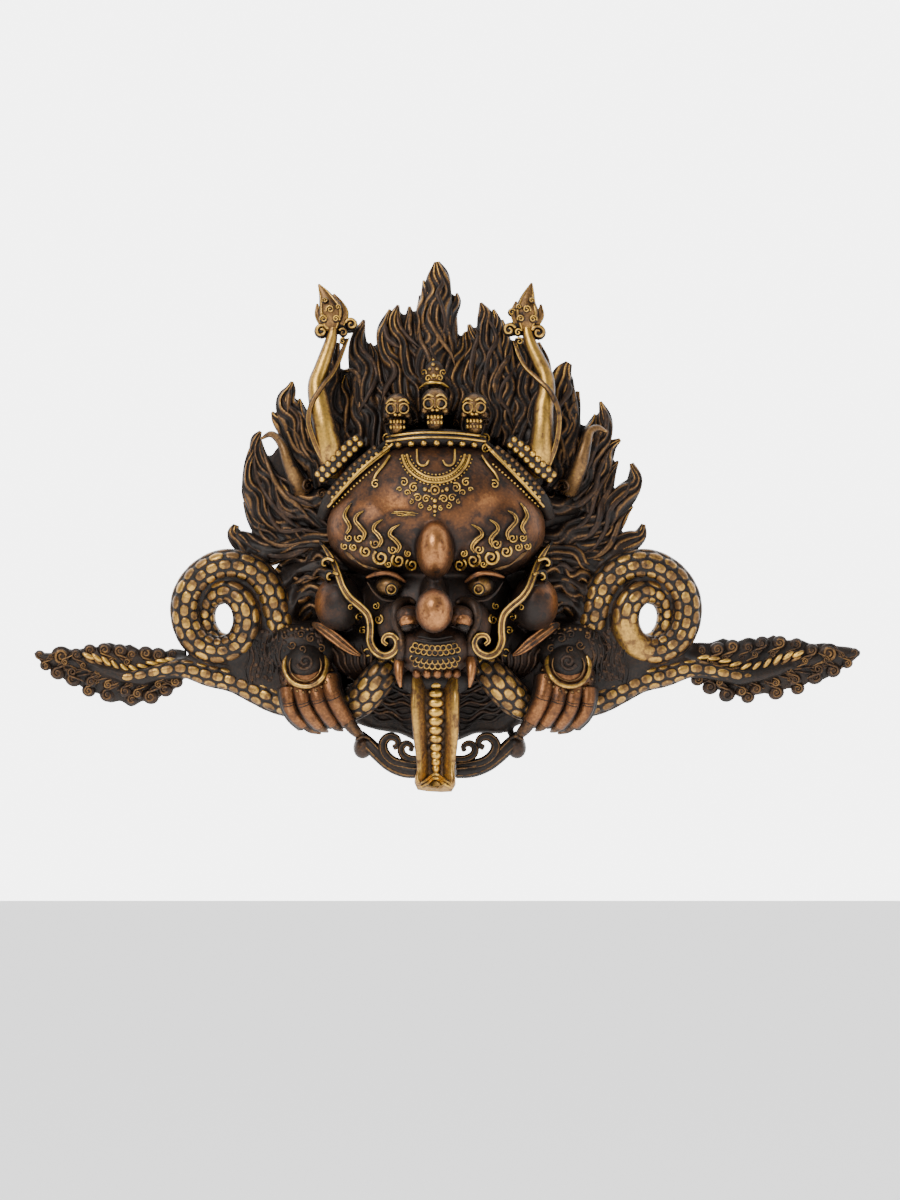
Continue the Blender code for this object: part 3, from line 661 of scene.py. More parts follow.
@dataclass
class Head:
    """The masses of the face, melted into each other: dome, brows, cheeks, snout.

    Each mass is its middle as x, z and depth, then its half sizes across, up and outward. A rubbed or shaded
    spot is its middle as x and z, its half sizes, and how much brighter or darker it is. The rubbed spots are
    wear on the raised parts, and the broad ones across the forehead are painted sheen. The shaded spots are
    painted shade in the eye sockets and under the third-eye boss, and darker copper and patina elsewhere.
    """

    masses: list[tuple[float, ...]] = field(default_factory=lambda: [
        (0, -56, 14, 73, 53, 62), (-36, -66, 32, 37, 33, 37), (36, -66, 32, 37, 33, 37),
        (-33, -79, 42, 33, 17, 31), (33, -79, 42, 33, 17, 31), (-0.6, -80, 68, 12.8, 20, 21.5),
        (0, -124, 16, 56, 46, 46), (-65, -116, 36, 16, 19, 24), (65.6, -116, 36, 16, 19, 24),
        (-48, -148, 17, 25, 21, 18), (48, -148, 17, 25, 21, 18),
        (-1, -146, 60, 26, 19, 28), (-1, -110, 57, 9, 14, 18), (-17.5, -124, 76, 9, 7, 12),
        (15.5, -124, 76, 9, 7, 12), (-27, -130, 58, 12, 16, 14), (25, -130, 58, 12, 16, 14),
    ])
    hollows: list[tuple[float, ...]] = field(default_factory=lambda: [
        (0, -56, 14, 55, 45, 54), (0, -124, 16, 38, 38, 38)])
    # Rubbed spots are wear on the raised parts; the broad ones across the forehead are painted sheen, a painted
    # reflection of the soft light above.
    rubbed: list[tuple[float, ...]] = field(default_factory=lambda: [
        (-0.6, -80, 11, 17, 0.46), (-34, -51, 22, 7, 0.26), (38, -47, 22, 6, 0.30), (-67, -66, 7, 14, 0.20),
        (68, -64, 7, 14, 0.20), (0, -24, 8, 8, 0.18), (-79, -114, 4.5, 13, 0.60), (80, -112, 4.5, 13, 0.60),
        (68, -106, 8, 5, 0.3), (0, -54, 34, 12, 0.12)])
    # Shaded spots: painted shade in the eye sockets under the brow and between the eyes under the third-eye boss;
    # the others darken the copper of the muzzle, cheeks and jaw and the patina round the brow carving and the
    # jewel.
    shaded: list[tuple[float, ...]] = field(default_factory=lambda: [
        (-36, -80, 22, 12, 0.24), (36, -80, 22, 12, 0.24), (-31, -106, 18, 14, 0.5), (30, -106, 18, 14, 0.5),
        (0, -103, 14, 6, 0.5), (0, -147, 24, 16, 0.30), (-46, -144, 22, 22, 0.5), (46, -144, 22, 22, 0.5),
        (0, -38, 20, 12, 0.10), (-64, -118, 15, 20, 0.40), (65, -118, 15, 20, 0.40)])
    cell: float = 1.15 * MM
    melting: int = 14
    back: float = 5.0
    behind: tuple[float, float, float] = (0.4, 0.1, 0.4)
    smooth: tuple[int, int] = (56, 36)
    plain: float = 0.27
    swell_limits: tuple[float, float] = (-1.2, 0.45)
    swell_share: float = 0.42
    facing_share: float = 0.12
    deep: tuple[float, float, float] = (28.0, 15.0, 0.3)
    soil_left: float = 0.30

    def mass(self, x: float, z: float, depth: float, across: float, tall: float,
             outward: float) -> bpy.types.Object:
        """Adds one rounded mass at its place.

        Args:
            x: Its middle, from left to right.
            z: Its middle, upward.
            depth: Its middle, in front of the wall.
            across: Its half size from left to right.
            tall: Its half size upward.
            outward: Its half size outward.

        Returns:
            The mass.
        """
        segments, rings = self.smooth
        bpy.ops.mesh.primitive_uv_sphere_add(segments=segments, ring_count=rings, radius=1.0)
        made = bpy.context.object
        bpy.ops.object.mode_set(mode="EDIT")
        bpy.ops.transform.resize(value=(across * MM, outward * MM, tall * MM))
        bpy.ops.transform.translate(value=(x * MM, -depth * MM, z * MM))
        bpy.ops.object.mode_set(mode="OBJECT")
        return made

    def build(self, finish: bpy.types.Material) -> bpy.types.Object:
        """Joins the masses, melts them together and opens the hollow behind them.

        Args:
            finish: The material it gets.

        Returns:
            The finished piece.
        """
        bpy.ops.object.select_all(action="DESELECT")
        made = [self.mass(*row) for row in self.masses]
        for piece in made:
            piece.select_set(True)
        bpy.context.view_layer.objects.active = made[0]
        bpy.ops.object.join()
        head = bpy.context.object
        head.name = "face"
        skin = head.modifiers.new("skin", "REMESH")
        skin.mode, skin.voxel_size = "VOXEL", self.cell
        soft = head.modifiers.new("soft", "SMOOTH")
        soft.factor, soft.iterations = 0.5, self.melting
        for step in ("skin", "soft"):
            bpy.ops.object.modifier_apply(modifier=step)
        cutters = [self.mass(*row) for row in self.hollows]
        bpy.ops.mesh.primitive_cube_add(size=1.0)
        block = bpy.context.object
        bpy.ops.object.mode_set(mode="EDIT")
        bpy.ops.transform.resize(value=self.behind)
        bpy.ops.transform.translate(value=(0.0, 0.5 * self.behind[1] - self.back * MM, -0.1))
        bpy.ops.object.mode_set(mode="OBJECT")
        bpy.ops.object.select_all(action="DESELECT")
        bpy.context.view_layer.objects.active = head
        for number, cutter in enumerate([*cutters, block]):
            cut = head.modifiers.new(f"cut_{number}", "BOOLEAN")
            cut.operation, cut.solver, cut.object = "DIFFERENCE", "MANIFOLD", cutter
            bpy.ops.object.modifier_apply(modifier=cut.name)
            bpy.data.objects.remove(cutter)
        self.wear(head)
        head.data.materials.clear()
        head.data.materials.append(finish)
        head.data.shade_smooth()
        return head

    def wear(self, head: bpy.types.Object) -> None:
        """Brightens the swells of the face, darkens its creases, and adds rubbed wear, painted sheen and painted
        shade in spots.

        Args:
            head: The face, before it has a material.
        """
        mesh = head.data
        count = len(mesh.vertices)
        co, normal = np.empty(count * 3), np.empty(count * 3)
        mesh.vertices.foreach_get("co", co)
        mesh.vertices.foreach_get("normal", normal)
        co, normal = co.reshape(-1, 3) / MM, normal.reshape(-1, 3)
        edges = np.empty(len(mesh.edges) * 2, int)
        mesh.edges.foreach_get("vertices", edges)
        a, b = edges.reshape(-1, 2).T
        degree = np.bincount(np.concatenate([a, b]), minlength=count)[:, None]

        def blurred(values: np.ndarray, rounds: int) -> np.ndarray:
            """Mixes each value with its neighbours'.

            Args:
                values: One row for each point.
                rounds: How many times they are mixed.

            Returns:
                The mixed values.
            """
            for _ in range(rounds):
                total = np.zeros_like(values)
                np.add.at(total, a, values[b])
                np.add.at(total, b, values[a])
                values = 0.4 * values + 0.6 * total / degree
            return values

        swell = np.einsum("ij,ij->i", co - blurred(co, 30), normal)
        swell = blurred(swell[:, None], 3)[:, 0]
        x, depth, z = co[:, 0], -co[:, 1], co[:, 2]
        facing = np.clip(-normal[:, 1], 0.0, 1.0)
        polish = self.plain + self.swell_share * np.clip(swell, *self.swell_limits)
        polish = polish + self.facing_share * (facing - 0.5)
        # Adds the rubbed spots (wear, and painted sheen on the forehead) and takes off the shaded spots (painted
        # shade in the eye sockets and under the boss, darker copper and patina elsewhere).
        for spots, sign in ((self.rubbed, 1.0), (self.shaded, -1.0)):
            for cx, cz, wide, tall, amount in spots:
                polish += sign * amount * np.exp(-((x - cx) / wide) ** 2 - ((z - cz) / tall) ** 2)
        near_wall, over, darker = self.deep
        polish -= darker * np.clip((near_wall - depth) / over, 0, 1)
        for name, values in (("polish", np.clip(polish, 0.02, 1.0)), ("copper", np.full(count, 1.0))):
            mesh.attributes.new(name, "FLOAT", "POINT").data.foreach_set("value", values)

    def soil(self, head: bpy.types.Object, carving: list[bpy.types.Object], reach: float = 3.2 * MM) -> None:
        """Leaves the dark patina in place close to the carving.

        Args:
            head: The face.
            carving: The pieces laid on it.
            reach: How far from the carving the patina stays dark.
        """
        tree = Ground(carving).tree
        values = head.data.attributes["polish"].data
        for vertex in head.data.vertices:
            if vertex.normal.y < 0.0:
                away = tree.find_nearest(vertex.co, reach)[3]
                if away is not None:
                    share = min(1.0, away / reach)
                    values[vertex.index].value *= self.soil_left + (1.0 - self.soil_left) * share


@dataclass
class Mane:
    """The flames and hair: fluted locks that end in points, laid over one another.

    A lock is the depth of its front at root and tip, then its middle line as x, z and half width. A strand is
    its middle line as x, z and half thickness.
    """

    crown: list[tuple[float, float, Rows]] = field(default_factory=lambda: [
        (36, 13, [(0, 22, 13), (-3, 48, 12), (1, 72, 11), (1, 92, 9.5), (1.5, 105, 7.5), (0.5, 114, 2)]),
        (22, 12, [(-5, 60, 6), (-8, 78, 5), (-6.5, 92, 4), (-8.5, 101.5, 0.8)]),
        (24, 11, [(-7, 52, 6), (-11, 68, 5), (-9.5, 82, 4), (-11, 91.5, 0.8)]),
        (27, 11, [(-9, 38, 8), (-14, 58, 7), (-17, 72, 5), (-18, 84, 1)]),
        (30, 12, [(-12, 26, 8), (-19, 46, 8), (-26, 62, 6.5), (-28, 75, 5), (-25.5, 85, 1)]),
        (32, 11, [(-18, 16, 8), (-26, 38, 8), (-33, 54, 6), (-35.5, 68, 4.5), (-31, 82, 1)]),
        (28, 10, [(-30, 4, 8), (-35, 22, 8), (-38, 38, 7), (-42, 50, 5), (-44.5, 59.5, 0.8)]),
        (26, 12, [(-42, 0, 8), (-46, 18, 9), (-49, 36, 9), (-52, 52, 7.5), (-52, 64, 5), (-48.5, 75, 1)]),
        (24, 10, [(-50, 2, 7), (-52, 18, 7), (-51, 32, 6), (-55, 40, 3), (-62, 41, 0.7)]),
        (21, 9, [(-58, -2, 7), (-61, 16, 6.5), (-62.5, 28, 5.5), (-61, 37.5, 1)]),
        (20, 10, [(-62, -12, 10), (-68, 6, 9.5), (-72, 26, 8.5), (-71, 44, 7), (-68.5, 60, 4)]),
        (26, 11, [(8, 48, 6), (10, 66, 5), (10.5, 78, 4), (14, 87, 3), (14, 93, 0.8)]),
        (30, 12, [(10, 26, 9), (13, 46, 8), (18, 58, 5), (20, 67, 1)]),
        (32, 11, [(20, 2, 9), (20, 26, 9), (23, 46, 7.5), (25, 60, 5), (22, 72, 1.2)]),
        (30, 12, [(30, 2, 9), (31, 28, 9), (32, 50, 8), (34, 68, 7), (33, 78, 5.5), (30, 86.5, 1)]),
        (27, 11, [(38, 8, 8), (38, 40, 8), (40, 60, 6), (41, 72, 4), (38.5, 82, 1)]),
        (24, 10, [(46, 2, 8), (47, 34, 8), (46, 54, 6), (45, 66, 4), (44.5, 75, 1)]),
        (22, 10, [(54, -4, 9), (57, 18, 8), (58, 38, 7.5), (58, 50, 6), (57, 63, 4)]),
        (20, 10, [(62, -12, 10), (67, 10, 9.5), (70, 32, 8), (72, 46, 5), (69, 60, 1)]),
    ])
    left: list[tuple[float, float, Rows]] = field(default_factory=lambda: [
        (20, 8, [(-80, -24, 9), (-89, -6, 9), (-97, 8, 9), (-101, 20, 7), (-98, 28, 4), (-97, 33.5, 1)]),
        (17, 7, [(-90, -14, 7), (-101, 1, 6), (-107, 8, 4), (-110.5, 13, 0.8)]),
        (18, 7, [(-80, -16, 7), (-88, 4, 6), (-91, 15, 3.5), (-92, 22, 0.8)]),
        (23, 8, [(-80, -58, 9), (-98, -51, 9), (-110, -36, 7.5), (-119, -18, 6), (-121, -6, 4),
                 (-118, 0, 1)]),
        (19, 7, [(-98, -66, 8), (-114, -56, 8), (-123, -40, 7), (-125.5, -26, 4.5), (-123, -12, 3),
                 (-119, -3, 0.8)]),
        (16, 7, [(-108, -64, 7), (-119, -54, 6.5), (-126, -42, 5), (-130, -33, 0.8)]),
        (17, 7, [(-100, -73, 8), (-115, -67, 7), (-123, -58, 5), (-129.5, -47.5, 0.8)]),
        (20, 8, [(-96, -80, 9), (-116, -79, 9), (-129, -75, 8), (-136, -69, 5), (-134.5, -63, 2)]),
        (30, 12, [(-76, -46, 7), (-92, -45, 7), (-103, -36, 5.5), (-110, -28, 1)]),
        (32, 14, [(-72, -72, 8), (-82, -74, 8), (-92, -79, 8), (-103, -79, 8), (-112, -84, 7),
                  (-120, -83, 5)]),
        (30, 14, [(-70, -86, 7), (-79, -83, 7), (-87, -89, 7), (-96, -86, 7), (-103, -94, 6),
                  (-108, -92, 3)]),
        (31, 16, [(-72, -97, 7), (-80, -94, 7), (-88, -100, 7), (-97, -98, 6), (-103, -107, 4),
                  (-102, -116, 1.5)]),
        (32, 20, [(-76, -108, 7), (-84, -105, 7), (-91, -112, 7), (-97, -113, 5), (-99, -124, 2)]),
        (30, 20, [(-76, -120, 6), (-84, -117, 6), (-90, -124, 5), (-95, -127, 2)]),
    ])
    right: list[tuple[float, float, Rows]] = field(default_factory=lambda: [
        (20, 9, [(80, -26, 9), (86, -6, 9), (87, 14, 9), (85.5, 28, 8), (85, 38, 7), (89.5, 46, 2.5)]),
        (17, 8, [(88, -10, 7), (91, 6, 6), (93.5, 17, 4), (95.5, 27, 1.2)]),
        (16, 7, [(88, -24, 7), (93, -6, 5), (96.5, 8.5, 0.8)]),
        (20, 8, [(96, -34, 9), (107, -14, 8), (112.5, 0, 6.5), (113.5, 10, 4.5), (110.5, 20, 1)]),
        (17, 7, [(98, -16, 6), (104, 0, 5), (107, 11.5, 0.8)]),
        (18, 8, [(104, -42, 8), (111, -24, 7), (117, -11, 4.5), (124, -5.5, 1.2)]),
        (16, 7, [(104, -56, 8), (112, -40, 7), (117, -28, 4.5), (122.5, -20, 0.8)]),
        (23, 9, [(80, -72, 9), (100, -66, 10), (116, -54, 9), (128, -42, 8), (134.5, -32, 4.5), (131.5, -21.5,
                                                                                                 1.5)]),
        (19, 8, [(94, -80, 9), (111, -72, 9), (121, -61, 6.5), (127, -54, 4), (132.5, -50.5, 0.8)]),
        (20, 8, [(98, -88, 9), (116, -82, 9), (129, -75, 8), (137, -70, 5), (139.5, -62.5, 1.5)]),
        (30, 12, [(74, -50, 7), (90, -50, 7), (102, -42, 5.5), (109, -31, 1)]),
        (32, 14, [(72, -80, 8), (82, -84, 8), (92, -84, 8), (102, -91, 7), (110, -93, 5), (117, -99, 3)]),
        (31, 16, [(73, -94, 7), (81, -91, 7), (89, -98, 7), (98, -97, 6), (104, -106, 4), (102, -118, 1.5)]),
        (32, 20, [(77, -106, 7), (85, -103, 7), (92, -111, 7), (98, -113, 5), (99, -125, 2)]),
        (30, 20, [(78, -119, 6), (86, -116, 6), (92, -123, 5), (97, -128, 2)]),
    ])
    strands: list[Rows] = field(default_factory=lambda: [
        [(13.8, 39.8, 1.6), (10, 51, 1.8), (4.5, 58.5, 1.8), (-1, 67, 1.8), (-5, 75.3, 1.6),
         (-4.2, 82.8, 1.4),
         (-0.5, 88, 0.7)],
        [(-37, 17.3, 1.6), (-33.2, 28.5, 1.8), (-27.6, 37.9, 1.8), (-29.5, 45.4, 1.6), (-35, 52, 1)],
        [(-49.6, 6, 1.6), (-51.4, 12.6, 1.8), (-47.2, 20, 1.8), (-41.6, 31.3, 2), (-39.8, 38.8, 2),
         (-43.5, 48.2, 2),
         (-50, 54.7, 1.8), (-52, 62.2, 1.5), (-50, 70.6, 0.7)],
        [(-51, 28.5, 1.4), (-52, 37, 1.6), (-56.6, 40.7, 1.4), (-61, 40.7, 0.6)],
        [(-9.8, 54.7, 1.6), (-18.2, 62.2, 1.8), (-23.9, 69.7, 1.8), (-25.7, 76.2, 1.5), (-26, 83, 0.7)],
        [(-22, 54.7, 1.5), (-31.3, 60.3, 1.7), (-34.1, 67.8, 1.6), (-33.7, 75.3, 0.8)],
        [(-15.9, 62, 1.5), (-17.8, 70, 1.7), (-17, 78, 1.5), (-17.5, 82.5, 0.7)],
        [(24.1, 31.3, 1.5), (23.2, 40.7, 1.8), (25, 52.9, 1.8), (28.3, 64, 1.6), (24, 71, 0.8)],
        [(34.4, 26.7, 1.5), (33, 37.9, 1.8), (35.4, 51, 1.9), (40.5, 60.3, 1.9), (39, 67.8, 1.7),
         (35.8, 73.4, 1.5),
         (31.6, 82, 0.8)],
        [(41, 19.2, 1.5), (39, 30.4, 1.8), (42.8, 40.7, 1.8), (48.5, 49, 1.6), (51.3, 56.6, 0.8)],
        [(52.2, 0, 1.6), (48.5, 12.6, 1.8), (42.8, 21, 1.9), (44.7, 30.4, 1.8), (50.3, 37.9, 1.6),
         (56, 47.2, 0.8)],
        [(79.3, 0, 1.5), (80.3, 12.6, 1.8), (85.9, 21, 1.9), (89.6, 28.5, 1.8), (87.3, 39, 1)],
        [(90.6, 6, 1.4), (89.6, 12.6, 1.5), (95.2, 22, 0.7)],
        [(112.7, -4, 1.5), (114.7, 8, 1.4), (111.5, 17, 0.7)],
        [(-94, -6, 1.5), (-92, 5, 1.7), (-95, 12.6, 1.8), (-100.6, 17.3, 1.6), (-103.5, 22, 0.8)],
        [(-99.7, 12, 1.3), (-99, 22, 1.5), (-97.4, 31, 0.7)],
        [(-76.6, -68.6, 1.8), (-89.3, -66.6, 2), (-102, -67.6, 2), (-108, -62.7, 2), (-112, -55, 1.8),
         (-113, -45, 0.9)],
        [(-91.3, -58.8, 1.6), (-100, -55.8, 1.8), (-105, -51, 1.7), (-106.5, -43, 0.8)],
        [(-89.3, -74.5, 1.7), (-102, -77.4, 1.9), (-112, -74.5, 1.9), (-117.8, -68.6, 1.7), (-119.7, -58.8,
                                                                                             0.8)],
        [(-81.5, -77.4, 1.7), (-91.3, -81.3, 1.9), (-101.1, -84.3, 1.9), (-112, -83.3, 1.7), (-118.7, -77.4,
                                                                                              0.8)],
        [(-93, -39, 1.5), (-100, -34, 1.6), (-107, -30, 1.2), (-110, -25, 0.6)],
        [(-82, -62, 1.6), (-92, -51, 1.9), (-101, -44, 1.9), (-108, -34, 1.7), (-114, -20, 1.5),
         (-118, -6, 0.8)],
        [(-78, -52, 1.5), (-88, -48, 1.7), (-97, -44, 1.6), (-104, -37, 0.8)],
        [(-86, -70, 1.5), (-98, -61, 1.8), (-110, -49, 1.8), (-119, -34, 1.6), (-122, -20, 1.3),
         (-120, -9, 0.7)],
        [(-80, -24, 1.5), (-88, -14, 1.8), (-93, -3, 1.6), (-99, 3, 0.8)],
        [(92.3, -73.7, 1.7), (100.5, -71.7, 1.9), (106.6, -65.6, 1.9), (109.7, -57.4, 1.9), (111, -49, 1.8),
         (118, -36, 1.5), (119, -26.6, 0.8)],
        [(96.4, -83, 1.7), (104.6, -79.9, 1.9), (109.7, -73.7, 1.9), (113.8, -65.6, 1.9), (115.8, -55.3, 1.9),
         (121, -48.1, 1.8), (128.1, -41, 1.6), (131.7, -26, 0.8)],
        [(100.5, -86, 1.6), (108.7, -84, 1.8), (115.8, -77.8, 1.8), (119.9, -69.7, 1.7), (123, -61.5, 1.5),
         (129, -54, 0.8)],
        [(86.1, -67.6, 1.6), (93.3, -65.6, 1.8), (99.5, -61.5, 1.8), (103.6, -55.3, 1.8), (106.6, -45, 1.7),
         (111.7, -33.8, 1.5), (119, -24.6, 0.8)],
        [(85.1, -50.2, 1.6), (94.3, -50.7, 1.8), (100.5, -46, 1.8), (106.6, -39, 1.8), (108.7, -28.7, 1.7),
         (115, -15, 1.4), (121, -8, 0.7)],
        [(82, -30, 1.5), (86, -16, 1.7), (83, -2, 1.8), (84, 10, 1.6), (88, 18, 0.8)],
        [(100, -30, 1.4), (104, -18, 1.7), (108, -6, 1.6), (110, 6, 0.8)],
        [(-92.2, -88.8, 1.2), (-88.2, -90.8, 1.4), (-84.2, -87.9, 1.5), (-80.2, -88.4, 1.4), (-76.2, -92.2,
                                                                                              1.2)],
        [(-96.5, -103, 1.2), (-91.5, -100.9, 1.4), (-86.8, -98.2, 1.5), (-82.2, -98.9, 1.4), (-77.5, -97.8,
                                                                                              1.2)],
        [(-94.8, -114.5, 1.2), (-88.8, -110.2, 1.4), (-84.2, -107.9, 1.5), (-79.2, -109.8, 1.2)],
        [(96, -92, 1.2), (90.5, -93.6, 1.4), (85, -90, 1.5), (79.5, -91.5, 1.2)],
        [(98, -104, 1.2), (92, -102.4, 1.4), (86.5, -99.6, 1.5), (80, -100.8, 1.2)],
        [(96.5, -116, 1.2), (90, -112.4, 1.4), (84.6, -109.9, 1.5), (80, -112, 1.2)],
        [(2, 60, 1.4), (6, 70, 1.7), (4, 82, 1.7), (1, 92, 1.7), (4.5, 100, 1.5), (1, 110, 0.9)],
        [(-2, 40, 1.4), (-6, 52, 1.7), (-10, 60, 1.5), (-11, 70, 0.8)],
        [(8, 30, 1.4), (3, 42, 1.6), (-3, 52, 1.4), (-4, 62, 0.8)],
    ])
    root_run: float = 13.0
    step: float = 1.7
    flute: float = 2.9
    flute_steps: int = 9
    flute_deep: tuple[float, float] = (1.15, 2.8)
    meanders: tuple[tuple[float, float], ...] = ((0.40, 36.0), (0.08, 17.0))
    tip_from: float = 0.66
    tip_thin: float = 0.55
    edge: float = 2.5
    least: float = 3.0
    foot: float = 1.2
    copper: float = 0.25
    sunk: float = 0.4

    def lock(self, relief: Relief, front: float, tip: float, rows: Rows, seed: int) -> None:
        """Adds one fluted lock.

        Args:
            relief: The piece it belongs to.
            front: How far its root stands in front of the wall.
            tip: The same at its tip.
            rows: Its middle line, as x, z and half width.
            seed: A number that varies its flutes.
        """
        (x0, z0, half0), (x1, z1, _) = rows[:2]
        away = self.root_run / math.hypot(x1 - x0, z1 - z0)
        path = resample([(x0 - (x1 - x0) * away, z0 - (z1 - z0) * away, half0), *rows], self.step)
        m = len(path)
        t = np.linspace(0.0, 1.0, m)[:, None]
        flutes = max(2, int(round(max(row[2] for row in rows) / self.flute)))
        u = np.linspace(-1.0, 1.0, self.flute_steps * flutes + 1)[None]
        phase = 1.7 * seed
        run = len(path) * self.step * t
        meander = sum(swing * np.sin(2 * np.pi * run / length + (number + 1) * phase)
                      for number, (swing, length) in enumerate(self.meanders))
        meander = meander * (1.0 - 0.5 * u * u)
        cord = np.abs(np.cos(0.5 * np.pi * flutes * (u + meander) + 0.5 * np.pi * (seed % 2)))
        half = path[:, 2:3]
        share, deepest = self.flute_deep
        deep = np.minimum(share * half / flutes, deepest) + 0.05
        thin = 1.0 - self.tip_thin * np.clip((t - self.tip_from) / (1.0 - self.tip_from), 0.0, 1.0) ** 1.3
        top = thin * (front + (tip - front) * t) * (0.7 + 0.3 * np.cos(0.5 * np.pi * u)) - deep * (1.0 - cord)
        top = np.where(np.abs(u) > 0.985, self.edge, np.maximum(top, self.least))
        centre = places(path[:, 0], path[:, 1], np.zeros(m))
        side, _ = frames(centre)
        spot = centre[:, None] + side[:, None] * (u * half)[..., None]
        rings = np.stack([spot[..., 0], -top, spot[..., 2]], axis=-1)
        foot = np.stack([spot[:, [-1, 0], 0], np.full((m, 2), -self.foot), spot[:, [-1, 0], 2]], axis=-1)
        shine = 0.46 + 0.24 * math.sin(2.3 * seed) ** 2
        polish = shine * cord**4 * np.clip(1.25 - np.abs(u) ** 4, 0, 1) * (0.6 + 0.6 * t)
        polish = polish + 0.22 * np.clip((t - 0.86) / 0.1, 0, 1) * (1.0 - u * u)
        polish = np.concatenate([polish, np.zeros((m, 2))], axis=1)
        relief.tube(np.concatenate([rings, foot], axis=1), polish, self.copper)

    def build(self, finish: bpy.types.Material) -> list[bpy.types.Object]:
        """Makes the locks, then lays single strands over them.

        Args:
            finish: The material they get.

        Returns:
            The finished pieces.
        """
        made = []
        for name, locks, start in (("crown_flames", self.crown, 1), ("left_flames", self.left, 31),
                                   ("right_flames", self.right, 61)):
            relief = Relief(name)
            for number, (front, tip, rows) in enumerate(locks):
                self.lock(relief, front, tip, rows, start + number)
            made.append(relief.finish(finish))
        ground = Ground(made)
        relief = Relief("hair_strands")
        for number, rows in enumerate(self.strands):
            thick = 1.0 + 0.35 * (number % 2)
            laid = ground.lay([(x, z, half * thick) for x, z, half in rows], -self.sunk)
            run = np.linspace(0.0, 1.0, len(laid))
            laid[:, 3] *= np.clip(np.minimum(run, 1.0 - run) * 4.0, 0.12, 1.0)
            relief.strand(laid, Tone.HAIR if number % 3 == 0 else Tone.FOLD, sides=8, tall=0.75)
        made.append(relief.finish(finish))
        return made


